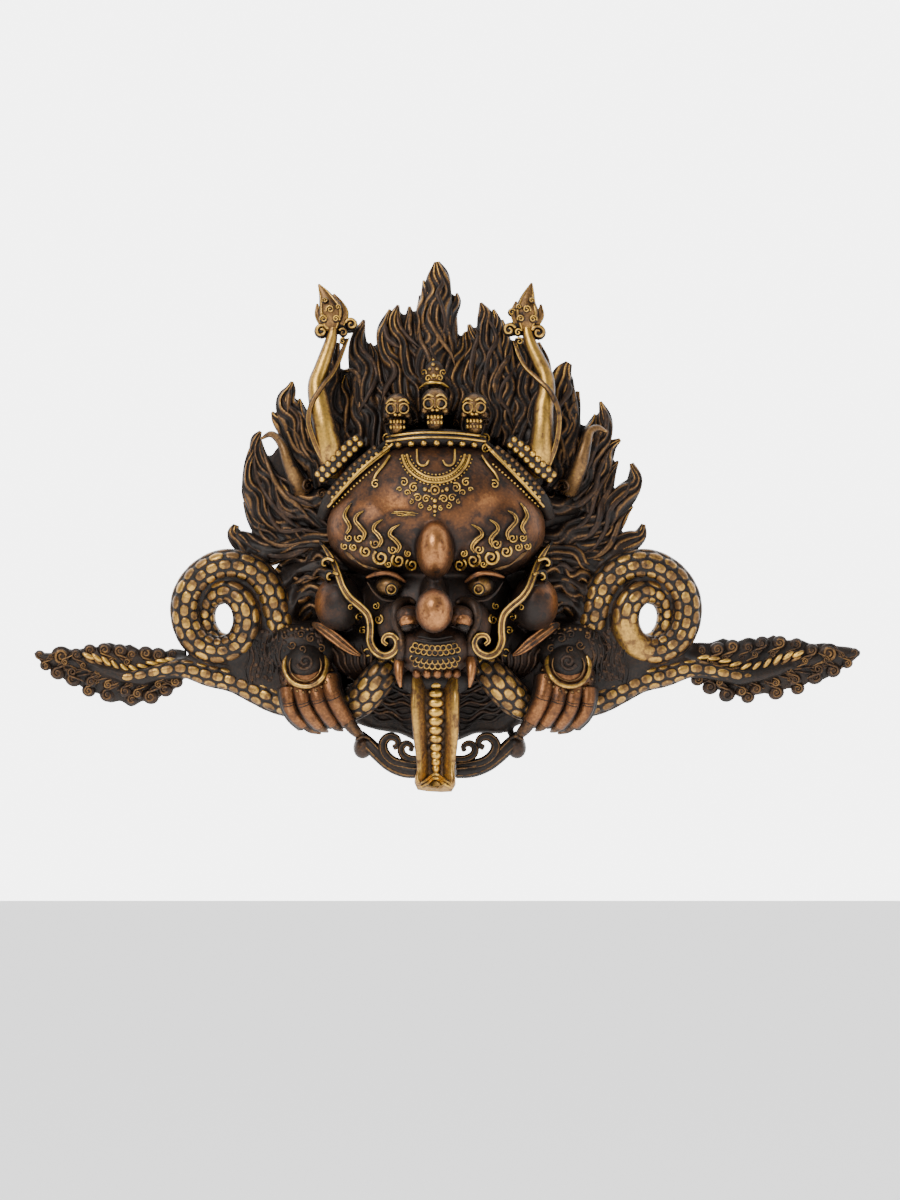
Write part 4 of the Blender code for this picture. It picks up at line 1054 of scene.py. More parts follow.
@dataclass
class Horns:
    """The two great horns with their ribbons and flaming jewels, and the small horns at the temples."""

    left: Rows = field(default_factory=lambda: [
        (-67, -27, 22, 6), (-70, -17, 35, 8.4), (-73.8, 0, 38, 7), (-77.5, 16, 35, 6.4), (-79.6, 30, 31, 5.4),
        (-76.5, 41, 28, 4.6), (-72.8, 52, 26, 4.1), (-69.8, 62, 24, 3.4), (-68.3, 74, 23, 1.4)])
    left_ribbon: Rows = field(default_factory=lambda: [
        (-72, -24, 36, 1.9), (-78, -15, 42, 1.9), (-83.2, -2, 42, 1.9), (-85, 7, 41, 1.9), (-83, 17, 41, 1.9),
        (-76.5, 28, 39, 1.9), (-70, 36, 35, 1.9), (-66.3, 43, 30, 1.8), (-63, 52, 25, 1.7),
        (-59.6, 61, 21, 1.3)])
    right: Rows = field(default_factory=lambda: [
        (66, -27, 22, 6), (69.5, -17, 35, 8.4), (71, 0, 38, 6.6), (71.6, 14, 35, 6), (73.8, 26, 32, 5.2),
        (73, 36, 30, 4.8), (68.8, 46, 28, 4.3), (64.2, 56, 26, 3.7), (61.4, 65, 24, 2.9),
        (60.6, 74, 23, 1.4)])
    right_ribbon: Rows = field(default_factory=lambda: [
        (74, -26, 36, 1.9), (79.4, -12, 42, 1.9), (81.9, 2, 42, 1.9), (81.2, 14, 42, 1.9),
        (75.5, 26, 40, 1.9), (67, 34.5, 36, 1.9), (60.5, 41, 31, 1.9), (56, 49, 26, 1.8),
        (52.8, 59, 21, 1.3)])
    small: Rows = field(default_factory=lambda: [
        (-90, -40, 14, 7), (-94, -32, 23, 5.8), (-98.5, -22, 27, 4.4), (-102, -12, 26, 3.4),
        (-106, -5.5, 22, 2.8), (-111, -2.4, 18, 2.2), (-117, -5.2, 14, 1)])
    small_right: Rows = field(default_factory=lambda: [
        (90, -40, 14, 6.5), (93.5, -31, 24, 5.6), (97, -21, 28, 5.2), (100, -10, 27, 4), (103, -1, 22, 3),
        (108.5, 1.8, 18, 2.2), (114, -0.6, 14, 1)])
    left_jewel: list[Rows] = field(default_factory=lambda: [
        [(-70, 67, 22, 4), (-70.5, 74, 24, 7.6), (-70.5, 80, 24, 8.6), (-72.6, 86, 23, 6.2), (-75, 91.5, 22,
                                                                                              3.8),
         (-78.5, 97.6, 21, 0.9)],
        [(-63.5, 71, 23, 2.6), (-61.4, 78, 23, 3.2), (-64.2, 84.5, 22.5, 2.6), (-68.4, 91, 22, 0.9)],
        [(-76, 71, 23, 2.6), (-79, 77.4, 23, 2.4), (-79.6, 84.4, 22, 0.9)]])
    jewel_curls: list[Curl] = field(default_factory=lambda: [
        (-75.2, 74.4, 2.6, 200, -1.4), (-66.8, 74.6, 2.4, -20, 1.4), (-70.8, 80.8, 2.7, 200, -1.4),
        (-65.6, 82.4, 1.8, -20, 1.3), (-74.2, 86.8, 1.9, 200, -1.3)])
    right_jewel: list[Rows] = field(default_factory=lambda: [
        [(60.5, 67, 22, 4), (60.8, 74, 24, 7.4), (60.6, 80, 24, 8.2), (61, 86, 23, 6), (62.4, 92, 22, 3.8),
         (64, 98.4, 21, 0.9)],
        [(67, 71, 23, 2.6), (69.8, 77, 23, 2.8), (70.2, 84, 22, 0.9)],
        [(54, 72, 23, 2.6), (52.4, 79, 23, 2.6), (53.6, 86, 22, 0.9)]])
    curls: list[Curl] = field(default_factory=lambda: [
        (-76.6, 66.5, 4.6, 20, 1.3), (-56.8, 71, 3.9, 160, -1.2), (-62.2, 65.5, 2.8, 150, -1.1),
        (-62.4, 59.8, 2.2, 60, 1.1), (-68.3, 78.6, 3, 200, 1.3), (68.6, 65.6, 4.6, 160, -1.3),
        (49, 67.3, 4.2, 20, 1.2), (55, 65.6, 2.5, 30, 1.1), (55.8, 59.6, 2.4, 120, -1.1),
        (59.7, 77, 3, -20, -1.3), (50.8, 79, 2.6, 20, 1.1)])
    fuller: float = 1.14
    jewels_apart: float = -10.2
    jewel_front: float = 27.6
    curl_front: float = 20.0

    def curled(self, relief: Relief, spot: Curl, depth: float, half: float) -> None:
        """Adds one golden curl.

        Args:
            relief: The piece it belongs to.
            spot: Its middle as x and z, its radius, where it starts and how far it winds.
            depth: How far it stands in front of the wall.
            half: Half its thickness, as a share of its radius.
        """
        x, z, radius, start, turns = spot
        rows = [(a, b, depth, w) for a, b, w in spiral((x, z), radius, start, turns, radius * half)]
        relief.strand(rows, Tone.GOLD, sides=7, step=0.8)

    def build(self, finish: bpy.types.Material) -> list[bpy.types.Object]:
        """Makes the horns, ribbons, jewels and small horns.

        Args:
            finish: The material they get.

        Returns:
            The finished pieces.
        """
        relief = Relief("horns")
        for rows in (self.left, self.right):
            full = [(x, z, depth, half * self.fuller) for x, z, depth, half in rows]
            relief.strand(full, Tone.BRIGHT, sides=24)
        for rows, turn in ((self.left_ribbon, 1.0), (self.right_ribbon, -1.0)):
            relief.strand(rows, Tone.DULL, sides=8)
            for edge in (-1.0, 1.0):
                lifted = [(x + edge * 1.1, z + edge * turn * 0.5, d + 0.9, 0.6) for x, z, d, _ in rows]
                relief.strand(lifted, Tone.GOLD, sides=6)
        for rows in (self.small, self.small_right):
            relief.strand(rows, Tone.DULL, sides=14)
        for rows in self.left_jewel + self.right_jewel:
            relief.strand(rows, Tone.DULL, sides=16, tall=0.62)
            path = resample(rows, 1.0)
            for share in (-0.72, 0.72):
                relief.strand(across(path, share, 0.42, 0.17), Tone.GOLD, sides=6, step=1.0)
        turned = [(self.jewels_apart - x, z, radius, 180 - start, -turns)
                  for x, z, radius, start, turns in self.jewel_curls]
        for spot in self.jewel_curls + turned:
            x, z, radius, *_ = spot
            relief.ball((x, z, self.jewel_front), (radius * 1.25, radius * 1.25, 2.2), Tone.FOLD, 16)
            self.curled(relief, spot, self.jewel_front + 2.2, 0.28)
        for spot in self.curls:
            x, z, radius, *_ = spot
            relief.ball((x, z, self.curl_front), (radius * 1.15, radius * 1.15, 5), Tone.SOOT)
            self.curled(relief, spot, self.curl_front + 5.0, 0.3)
        return [relief.finish(finish)]


@dataclass
class Serpents:
    """The scaled coils at both sides, and the bodies that run through the hands to the tails."""

    coil: Rows = field(default_factory=lambda: [
        (-101, -140, 12, 10), (-107, -122, 15, 11.4), (-112, -106, 16, 11.4), (-124, -93.5, 16.5, 10.8),
        (-142, -90, 16.5, 10.8), (-157.5, -97.2, 15.5, 10.5), (-167, -111, 14.5, 10.4),
        (-168, -127, 13.5, 10), (-161, -141, 13.5, 10), (-147, -147.6, 14.5, 10), (-133, -143, 17.5, 10),
        (-126.5, -130, 21.5, 10), (-129, -116, 23.5, 9.5), (-139, -108, 20.5, 8.6), (-150, -111, 13.5, 8),
        (-155, -120, 8.5, 7.4), (-154, -131, 7.2, 6.8), (-148, -139.5, 7, 6.2), (-140, -142, 7, 5.4)])
    lower: Rows = field(default_factory=lambda: [
        (-88, -186, 17, 9), (-107, -180.5, 16, 9.6), (-121, -174, 14, 9.4), (-136, -167.5, 12, 8.4),
        (-152, -163.8, 11, 8.2), (-168, -159.6, 12, 6.6), (-182, -160.5, 13.5, 5), (-196, -163.6, 13.5, 4.2),
        (-208, -165.2, 12.5, 3.6), (-220, -163, 11, 2.4)])
    mouth: Rows = field(default_factory=lambda: [
        (-24, -148, 34, 9), (-38, -166, 41, 11.4), (-50, -180, 35, 11.4), (-64, -190, 24, 8)])
    pitch: float = 8.9
    gap: float = 7.6
    pad: float = 1.15
    pad_long: float = 0.45
    pad_wide: float = 0.44
    step: float = 0.64
    sides: int = 76
    copper: float = 0.12
    rubbed_patch: tuple[float, float, float, float] = (132.0, -138.0, 15.0, 0.9)

    def scaled(self, relief: Relief, rows: Rows, smooth: tuple[float, float, float,
                                                               float] | None = None) -> None:
        """Adds a body covered with rounded scales in staggered rows.

        Args:
            relief: The piece it belongs to.
            rows: Its middle line, as x, z, depth and half thickness.
            smooth: A worn patch as x, z, radius and how far its scales are rubbed away.
        """
        path = resample(rows, self.step)
        centre = places(path[:, 0], path[:, 1], path[:, 2])
        side, out = frames(centre)
        run = np.concatenate([[0.0], np.cumsum(np.linalg.norm(np.diff(centre, axis=0), axis=1))])[:, None]
        half = path[:, 3:4]
        turn = (2 * np.pi * np.arange(self.sides) / self.sides - np.pi)[None]
        girth = turn * half
        lattice = np.floor(girth / self.gap + 0.5)
        nearest = np.full((len(path), self.sides), 9.0)
        for shift in (-1, 0, 1):
            row = lattice + shift
            offset = np.where(np.mod(row, 2) == 1, 0.5 * self.pitch, 0.0)
            along = np.mod(run - offset + 0.5 * self.pitch, self.pitch) - 0.5 * self.pitch
            sideways = np.abs((girth - row * self.gap) / (self.pad_wide * self.gap))
            away = np.abs(along / (self.pad_long * self.pitch)) ** 2.5 + sideways ** 2.5
            nearest = np.minimum(nearest, away)
        pad = np.clip(1.0 - nearest, 0.0, 1.0) ** 0.35
        rim = np.clip(nearest, 0.0, 1.0) ** 1.5
        worn = np.zeros((len(path), 1))
        if smooth is not None:
            near = np.hypot(path[:, 0] - smooth[0], path[:, 1] - smooth[1])[:, None]
            worn = np.clip(1.4 - near / smooth[2], 0.0, 1.0) * smooth[3]
            pad = pad + (0.85 - pad) * worn
        radius = half - self.pad + self.pad * pad * (0.82 + 0.18 * rim)
        plain = np.clip(0.6 - 3 * np.cos(turn), 0, 1)
        radius = np.where(np.cos(turn) < 0.1, radius + (half - radius) * plain, radius)
        rings = centre[:, None] + radius[..., None] * (
            side[:, None] * np.sin(turn)[..., None] + out[:, None] * np.cos(turn)[..., None])
        facing = np.clip((np.cos(turn) + 0.15) / 0.9, 0.0, 1.0) ** 0.9
        ripple = 0.84 + 0.16 * np.sin(7.0 * lattice + np.floor(run / self.pitch) * 2.4)
        polish = facing * ripple * (0.78 + 0.30 * rim) * np.clip((1.0 - nearest) * 3.0, 0.0, 1.0)
        polish = polish + (0.86 * facing - polish) * np.minimum(1.15 * worn, 1.0)
        relief.tube(rings, polish, self.copper)

    def build(self, finish: bpy.types.Material) -> list[bpy.types.Object]:
        """Makes the coils and the lower bodies.

        Args:
            finish: The material they get.

        Returns:
            The finished pieces.
        """
        made = []
        for name, flip in (("left_serpent", False), ("right_serpent", True)):
            relief = Relief(name)
            for rows in (self.coil, self.lower, self.mouth):
                patch = self.rubbed_patch if flip and rows is self.coil else None
                self.scaled(relief, on_side(rows, flip), patch)
            made.append(relief.finish(finish))
        return made


@dataclass
class TailLeaves:
    """The leafy ends of the serpents' tails: lobes and curls along both edges, pointed leaflets down the middle."""

    plate: Rows = field(default_factory=lambda: [
        (-168, -156, 7, 8, 8), (-182, -158, 8, 15, 9), (-196, -159, 10, 20, 9.5),
        (-210, -158.5, 12, 20.5, 9.5), (-224, -156.5, 10.5, 18, 9), (-237, -156, 7.5, 12.5, 8.5),
        (-249, -155, 6, 8.5, 8), (-260, -153, 3.5, 5, 6), (-268, -150.5, 1.4, 1.6, 4.5)])
    lobes: list[tuple[float, float, float]] = field(default_factory=lambda: [
        (-266.4, -150.6, 3.0), (-251.6, -151.2, 6.0), (-241.6, -150.4, 4.0), (-232.6, -147.4, 3.8),
        (-222.8, -147, 4.2), (-212.4, -147.6, 4.2), (-204.4, -150.4, 3.8), (-195, -149.4, 4.4),
        (-186.4, -150.4, 4.4), (-177, -150, 3.4), (-262.6, -157.6, 3.2), (-254.4, -162.6, 4.2),
        (-243.8, -166.6, 4.8), (-233.6, -174.6, 3.8), (-231.8, -168.6, 3.8), (-221, -177.4, 4.4),
        (-220.4, -170.6, 3.4), (-209, -174.8, 3.8), (-204.4, -180.4, 3.8), (-200.6, -176.4, 3.6),
        (-192, -178.6, 4.6), (-182.4, -173.6, 4.6), (-175, -168.4, 4.0)])
    leaflets: list[tuple[float, float, float]] = field(default_factory=lambda: [
        (-233.5, -151.4, 168), (-227.6, -152.6, 156), (-221.6, -154.8, 146), (-215.4, -157.6, 142),
        (-209.2, -159.4, 150), (-203, -159.8, 162), (-196.8, -158.4, 176), (-190.6, -156.2, 186),
        (-184.2, -154.6, 190), (-178, -153.8, 184)])
    reach: float = 1.146
    root: float = 168.0
    lift: float = 1.5
    bow_lift: float = 3.6
    middle: float = -153.0
    plate_polish: float = 0.10

    def spot(self, x: float, z: float, flip: bool) -> tuple[float, float]:
        """Where a place drawn on the left leaf lies on the one being made, the right one being longer."""
        return (self.root + (-x - self.root) * self.reach, z + self.lift) if flip else (x, z)

    def ground(self, relief: Relief, flip: bool) -> None:
        """Adds the plate that the carving of one leaf lies on.

        Args:
            relief: The piece it belongs to.
            flip: Whether it is the right one.
        """
        path = resample([(*self.spot(x, z, flip), up, down, front) for x, z, up, down, front in self.plate],
                        1.6)
        share = np.array([-1.0, -0.96, -0.6, -0.2, 0.2, 0.6, 0.96, 1.0])
        tall = np.array([0.1, 0.7, 0.86, 1.0, 1.0, 0.86, 0.7, 0.1])
        wide = np.where(share > 0, share * path[:, 2:3], share * path[:, 3:4])
        rings = np.stack([path[:, :1] + 0 * wide, -path[:, 4:5] * tall[None], path[:, 1:2] + wide], axis=-1)
        relief.tube(rings, np.full(wide.shape, self.plate_polish), 0.1)

    def lobe(self, relief: Relief, flip: bool, number: int) -> None:
        """Adds one lobe of the edge: a boss with a large and a small curl and the bows behind them.

        Args:
            relief: The piece it belongs to.
            flip: Whether it is on the right leaf.
            number: Which lobe it is.
        """
        x, z, size = self.lobes[number]
        upper = z > self.middle
        sign, side = 1.0 if flip else -1.0, 1.0 if upper else -1.0
        depth = 6.2 + 1.3 * (number % 3)
        a, b = self.spot(x, z, flip)
        if flip and upper:
            b += self.bow_lift * math.sin(math.pi * min(1.0, max(0.0, (a - self.root) / 100.0)))
        relief.ball((a, b, depth - 1.4), (size * 1.25, size * 1.1, 3.4), Tone.FOLD, 20, 20.0 * sign)
        large = (0.0, 0.0, 0.78, 1.6, (Tone.HAIR, Tone.DULL, Tone.HAIR)[number % 3])
        small = (1.2, 1.8, 0.52, 2.6, (Tone.FOLD, Tone.HAIR, Tone.DULL)[number % 3])
        for along, inward, share, lift, tone in (large, small):
            p, q, radius = a - sign * along * size, b - side * inward * size, size * share
            rows = spiral((p, q), radius, -90 * side, 1.5 * sign * side, radius * 0.3)
            stem = [(p - sign * 2.4 * radius, q - side * 2.0 * radius, 0.4),
                    (p - sign * 1.4 * radius, q - side * 1.5 * radius, radius * 0.22)]
            relief.strand([(c, d, depth + lift, w) for c, d, w in stem + rows], tone, sides=8, step=0.7)
        for k in range(3):
            bow = [(a - sign * (1.6 * k + 2.0 * j), b - side * (1.1 * size + 1.7 * j + 0.5 * k * j),
                    depth + 1.4 - 0.25 * k,
                    0.8 * math.sin(math.pi * (j + 0.6) / 4.2) + 0.15) for j in range(4)]
            relief.strand(bow, Tone.FOLD if k % 2 else Tone.HAIR, sides=6, step=1.0)

    def midrib(self, relief: Relief, flip: bool) -> None:
        """Adds the leaflets down the middle and the veins under them.

        Args:
            relief: The piece it belongs to.
            flip: Whether it is on the right leaf.
        """
        sign = 1.0 if flip else -1.0
        for x, z, lean in self.leaflets:
            a, b = self.spot(x, z, flip)
            turn = 194.0 - lean if flip else lean - 14.0
            relief.ball((a, b, 10.6), (5.2, 1.9, 2.0), Tone.GOLD, 12, turn)
            relief.ball((a - sign * 1.0, b - 3.1, 10.2), (4.6, 1.4, 1.6), Tone.DULL, 10, turn)
        for k in range(5):
            low, high = -166 - 2 * k, -250 + 9 * k
            rows = []
            for t in range(9):
                arch = 5.5 * math.sin(math.pi * t / 8 + 0.4) * (k / 5)
                z = -161 - 3.0 * k + arch + 0.9 * math.sin(1.9 * t + k)
                rows.append((*self.spot(low + (high - low) * t / 8, z, flip), 9.6 - 0.25 * k, 0.75))
            relief.strand(rows, Tone.HAIR, sides=6)

    def build(self, finish: bpy.types.Material) -> list[bpy.types.Object]:
        """Makes both leaves.

        Args:
            finish: The material they get.

        Returns:
            The finished pieces.
        """
        relief = Relief("tail_leaves")
        for flip in (False, True):
            self.ground(relief, flip)
            for number in range(len(self.lobes)):
                self.lobe(relief, flip, number)
            self.midrib(relief, flip)
        return [relief.finish(finish)]


def across(path: np.ndarray, share: float, height: float, half: float) -> np.ndarray:
    """Draws a line beside a laid line.

    Args:
        path: The laid line, as x, z, depth and half thickness.
        share: How far to the side, as a share of the half thickness.
        height: How far outward, as a share of the half thickness.
        half: The new half thickness, as a share of the old one.

    Returns:
        The new line, with the same columns.
    """
    along = np.gradient(path[:, :2], axis=0)
    along /= np.maximum(np.linalg.norm(along, axis=1), 1e-9)[:, None]
    moved = path.copy()
    moved[:, 0] -= along[:, 1] * share * path[:, 3]
    moved[:, 1] += along[:, 0] * share * path[:, 3]
    moved[:, 2] += height * path[:, 3]
    moved[:, 3] *= half
    return moved


@dataclass
class Carver:
    """Lays ridges, curls and beads on what is already there."""

    relief: Relief
    ground: Ground

    def ridge(self, rows: Rows, tone: Tone, rise: float = 0.3, step: float = 1.1, tall: float = 1.0) -> None:
        """Lays one ridge given as x, z and half thickness."""
        self.relief.strand(self.ground.lay(rows, rise, step), tone, sides=8, step=step, tall=tall)

    def banded(self, rows: Rows, base: Tone, crest: Tone, ridges: int = 2, rise: float = 0.3,
               step: float = 1.1) -> None:
        """Lays a band with raised ridges along it.

        Args:
            rows: Its middle line, as x, z and half width.
            base: How the band is worn.
            crest: How its ridges are worn.
            ridges: How many ridges it has.
            rise: How far its middle stands over the surface.
            step: The distance between its rings.
        """
        path = self.ground.lay(rows, rise, step)
        self.relief.strand(path, base, sides=10, step=step)
        for k in range(ridges):
            share = ((2 * k + 1) / ridges - 1.0) * 0.78
            side = across(path, share, math.sqrt(1.0 - share**2) * 0.86, 0.80 / ridges)
            self.relief.strand(side, crest, sides=6, step=step)

    def curl(self, x: float, z: float, radius: float, start: float, turns: float, tone: Tone = Tone.GOLD,
             rise: float = 0.4) -> None:
        """Lays a curled end."""
        rows = spiral((x, z), radius, start, turns, max(0.55, radius * 0.27))
        self.relief.strand(self.ground.lay(rows, rise, 0.7), tone, sides=7, step=0.7)

    def bead(self, x: float, z: float, radius: float, tone: Tone = Tone.GOLD, rise: float = 0.2) -> None:
        """Lays one bead."""
        self.relief.ball((x, z, self.ground.depth(x, z) + rise), (radius, radius, radius), tone, 10)

    def beads(self, rows: Rows, radius: float, gap: float, tone: Tone = Tone.GOLD) -> None:
        """Lays a row of beads along a line given as x and z."""
        for x, z in resample([(x, z) for x, z, *_ in rows], gap):
            self.bead(float(x), float(z), radius, tone)

    def ring(self, x: float, z: float, radius: float, half: float, tone: Tone = Tone.GOLD,
             rise: float = 0.3) -> None:
        """Lays one ring."""
        self.relief.ring((x, z, self.ground.depth(x, z) + rise), radius, half, tone)


@dataclass
class Crown:
    """The crown with its three small skulls, the headbands and the forehead jewel.

    A skull is its middle as x, z and depth, then its half sizes across, up and outward. A curl is its middle
    as x and z, its radius, where it starts in degrees and how many turns it winds.
    """

    skulls: list[tuple[float, float, float, float, float, float]] = field(default_factory=lambda: [
        (-0.7, 18.5, 41, 9.2, 9.4, 12), (-25.6, 15.5, 36, 8.8, 9, 12), (25.4, 16, 36, 9.2, 9, 12)])
    jaw_drop: float = 13.6
    band: Rows = field(default_factory=lambda: [
        (-39, -16, 34, 4), (-24, -7, 43, 5), (0, -5.5, 48, 6), (24, -7, 43, 5), (39, -16, 34, 4)])
    sides: Rows = field(default_factory=lambda: [
        (-38, -14, 44, 5), (-54, -28, 46, 5.5), (-70, -46, 40, 5), (-76, -58, 30, 4)])
    left_collar: Rows = field(default_factory=lambda: [
        (-50, -6, 36, 4.6), (-59.5, -14.5, 40, 5.8), (-68.5, -23.5, 40, 5.8), (-78, -32, 33, 4.6)])
    right_collar: Rows = field(default_factory=lambda: [
        (48.5, -7, 36, 4.6), (59, -15, 40, 5.8), (68, -24, 40, 5.8), (77, -31.5, 33, 4.6)])
    jewel_curls: list[Curl] = field(default_factory=lambda: [
        (13.9, -39.2, 3.2, 120, -1.4), (20.6, -35.6, 2.9, 60, 1.3), (18.4, -42.6, 2.2, 200, -1.2),
        (11.4, -46, 2.7, 30, 1.3), (5.8, -46.8, 2.7, 150, -1.3), (9, -51.4, 2.1, 90, -1.2),
        (3.9, -53, 1.7, 90, 1.2), (23.4, -40.4, 1.7, 0, 1.1), (15.6, -48.6, 1.7, 90, 1.1),
        (39.4, -36.8, 2.9, 120, -1.2)])
    mane_curls: list[Curl] = field(default_factory=lambda: [
        (-85.4, -37.2, 4.3, 60, 1.4), (-76.4, -42.5, 3.2, 60, 1.3), (85.1, -37.9, 4.3, 120, -1.4),
        (76.6, -42.5, 3.2, 120, -1.3), (-32.5, 6, 3.0, 90, 1.3), (32.5, 6, 3.0, 90, -1.3),
        (-13.2, 4.4, 2.6, 60, 1.3), (13, 4.4, 2.6, 120, -1.3)])
    finial_curls: list[Curl] = field(default_factory=lambda: [
        (-5.2, 34.3, 2.4, 0, 1.1), (2.6, 34.4, 2.4, 180, -1.1), (-8.4, 38.4, 2.2, -30, 1.1),
        (4.9, 38.2, 2.2, 210, -1.1)])
    finial_beads: list[tuple[float, float, float]] = field(default_factory=lambda: [
        (-1.4, 36, 1.9), (-4.2, 40.5, 1.3), (0.6, 40.5, 1.3), (-1.9, 43.5, 1.5), (-1.9, 47, 1.1)])
    pendant: list[tuple[float, float]] = field(default_factory=lambda: [
        (-48, 1.7), (-51.7, 1.6), (-55, 1.3), (-57.6, 1.0)])
    band_beads: tuple[float, ...] = (-25, -16.5, -8, 0.5, 9.5, 17.5, 25.5)
    arc: tuple[float, float, float, float] = (0.0, -14.0, 22.3, 21.5)

    def bow(self, share: float, low: float, high: float, half: float) -> Rows:
        """Part of the jewel's hanging arc, between two angles below its middle."""
        x, z, wide, tall = self.arc
        turns = np.radians(np.linspace(low, high, 15))
        return [(x + wide * share * math.cos(a), z + tall * share * math.sin(a), half) for a in turns]

    def skull(self, relief: Relief, x: float, z: float, depth: float, wide: float, tall: float,
              out: float) -> None:
        """Adds one skull with its eye rings, the painted shade of its sockets, its nose and teeth.

        Args:
            relief: The piece it belongs to.
            x: Its middle, from left to right.
            z: Its middle, upward.
            depth: Its middle, in front of the wall.
            wide: Its half size from left to right.
            tall: Its half size upward.
            out: Its half size outward.
        """
        relief.ball((x, z, depth), (wide, tall, out), Tone.DULL, 28)
        relief.ball((x, z - self.jaw_drop, depth + 2.5), (wide * 0.62, 6.8, out * 0.8), Tone.DULL, 22)
        front = depth + out
        for side in (-1, 1):
            relief.ring((x + side * 4.2, z - 1.6, front - 0.6), 3.3, 0.75, Tone.GOLD)
            # A dark boss in each eye ring: painted shade standing for the hollow socket, with the patina of the
            # hollow.
            relief.ball((x + side * 4.2, z - 1.6, front - 2.9), (2.9, 2.9, 2.2), Tone.SOOT, 12)
            brow = [(x + side * 1.0, z + 3.2, front - 0.4, 0.8), (x + side * 4.5, z + 4.4, front - 0.9, 1.1),
                    (x + side * 7.6, z + 1.6, front - 3.2, 0.8)]
            relief.strand(brow, Tone.GOLD, sides=7, step=0.9)
            relief.ball((x + side * 1.4, z - 5.8, front - 0.8), (1.5, 1.3, 1.5), Tone.GOLD, 8)
            relief.ball((x + side * 6.8, z - 6.2, front - 5.0), (2.4, 2.2, 3.0), Tone.DULL, 10)
        relief.strand([(x, z + 1.5, front - 0.2, 0.9), (x, z - 4.0, front + 0.3, 1.1)], Tone.DULL, sides=7)
        for row in range(2):
            for k in range(5):
                share = (k - 2) / 2.4
                arched = depth + 2.5 + out * 0.8 * math.sqrt(1 - 0.5 * share**2) - 0.8
                relief.ball((x + share * 5.2, z - 10.4 - 3.7 * row, arched), (1.15, 1.7, 1.5), Tone.GOLD, 8)

    def base(self, finish: bpy.types.Material) -> bpy.types.Object:
        """Makes the bands, the collars round the horns' roots, the skulls and the finial's boss.

        Args:
            finish: The material they get.

        Returns:
            The finished piece.
        """
        relief = Relief("crown")
        relief.strand([(x, z, depth - 1.2, half) for x, z, depth, half in self.band], Tone.SOOT, sides=14)
        for rows in (self.sides, mirrored(self.sides)):
            relief.strand([(x, z, depth - 1.5, half) for x, z, depth, half in rows], Tone.SOOT, sides=12)
        for rows in (self.left_collar, self.right_collar):
            relief.strand(rows, Tone.SOOT, sides=14, tall=0.75)
            for share in (-0.48, 0.48):
                for x, z, depth, _ in across(resample(rows, 1.0), share, 0.58, 0.1)[3::5]:
                    relief.ball((x, z, depth), (2.5, 2.5, 2.3), Tone.GOLD, 12)
        for row in self.skulls:
            self.skull(relief, *row)
        relief.ball((-1, 37, 31), (7, 9.5, 6), Tone.HAIR, 20)
        return relief.finish(finish)

    def bands(self, work: Carver) -> None:
        """Lays the ridges and beads of the headband and of the straps at its sides.

        Args:
            work: What lays them.
        """
        for z in (-2.2, -5.4):
            work.ridge([(-33, z - 2.6, 1.0), (-16, z - 0.6, 1.0), (0, z, 1.0), (16, z - 0.6, 1.0),
                        (33, z - 2.6, 1.0)], Tone.GOLD, 0.5)
        for x in self.band_beads:
            work.bead(x, -9.2 - 0.0016 * x * x, 2.5)
        for side in (-1, 1):
            work.ring(side * 32.5, -5.4, 3.0, 0.8)
            work.bead(side * 32.5, -5.4, 1.5)
            for off in (-1.9, 1.9):
                edge = -30 if side < 0 else 34
                shift = off * side * 0.7
                work.ridge([(edge + shift, -11.5 - off, 1.1), (side * 52 + shift, -29.5 - off, 1.2),
                            (side * 70.5 + shift, -49.5 - off, 1.1)], Tone.GOLD, 0.6)
            work.beads([(side * 38, -23.5), (side * 54, -37.5), (side * 68, -51)], 0.95, 2.9)
            work.beads([(side * 41, -12.4), (side * 56, -25.6), (side * 71, -42)], 1.7, 4.4, Tone.DULL)
            work.beads([(side * 39.6, -16.4), (side * 54.2, -29.4), (side * 68.6, -45)], 1.5, 4.4, Tone.GOLD)
            work.curl(side * 33.4, -12.8, 2.9, 90, side * 1.3, Tone.GOLD)
            work.ridge([(side * 30.6, -17.6, 0.9), (side * 34.5, -23.5, 1.1), (side * 39.2, -29.4, 1.1),
                        (side * 41.6, -34.3, 0.8)], Tone.GOLD)
        for spot in self.mane_curls:
            work.curl(*spot, Tone.HAIR)

    def jewel(self, work: Carver) -> None:
        """Lays the forehead jewel: a beaded arc with curls and a pendant of beads under it.

        Args:
            work: What lays it.
        """
        for share in (1.02, 0.87):
            work.ridge(self.bow(share, -170, -10, 1.1), Tone.GOLD)
        work.beads(self.bow(0.945, -168, -12, 0.8), 1.15, 1.9)
        for share, gap in ((1.10, 2.7), (0.78, 2.6)):
            work.beads(self.bow(share, -165, -15, 1), 0.8, gap)
        for side in (-1, 1):
            work.ridge([(side * 12.6, -13.8, 0.8), (side * 12.2, -21.8, 1.1), (side * 9.8, -24.4, 1.1),
                        (side * 6.6, -24, 1.0), (side * 4.8, -21.2, 0.8)], Tone.GOLD)
            work.bead(side * 7.2, -40.5, 1.8)
            work.bead(side * 4.4, -41.5, 1.2)
            work.bead(side * 2.6, -46.6, 1.1)
            for x, z, radius, start, turns in self.jewel_curls:
                work.curl(side * x - 0.6, z, radius, start if side > 0 else 180 - start, side * turns)
            work.bead(side * 22, -18, 1.6)
        work.ring(-0.6, -41, 2.8, 0.9)
        work.bead(-0.6, -41, 1.5)
        for z, radius in self.pendant:
            work.bead(-0.7, z, radius)

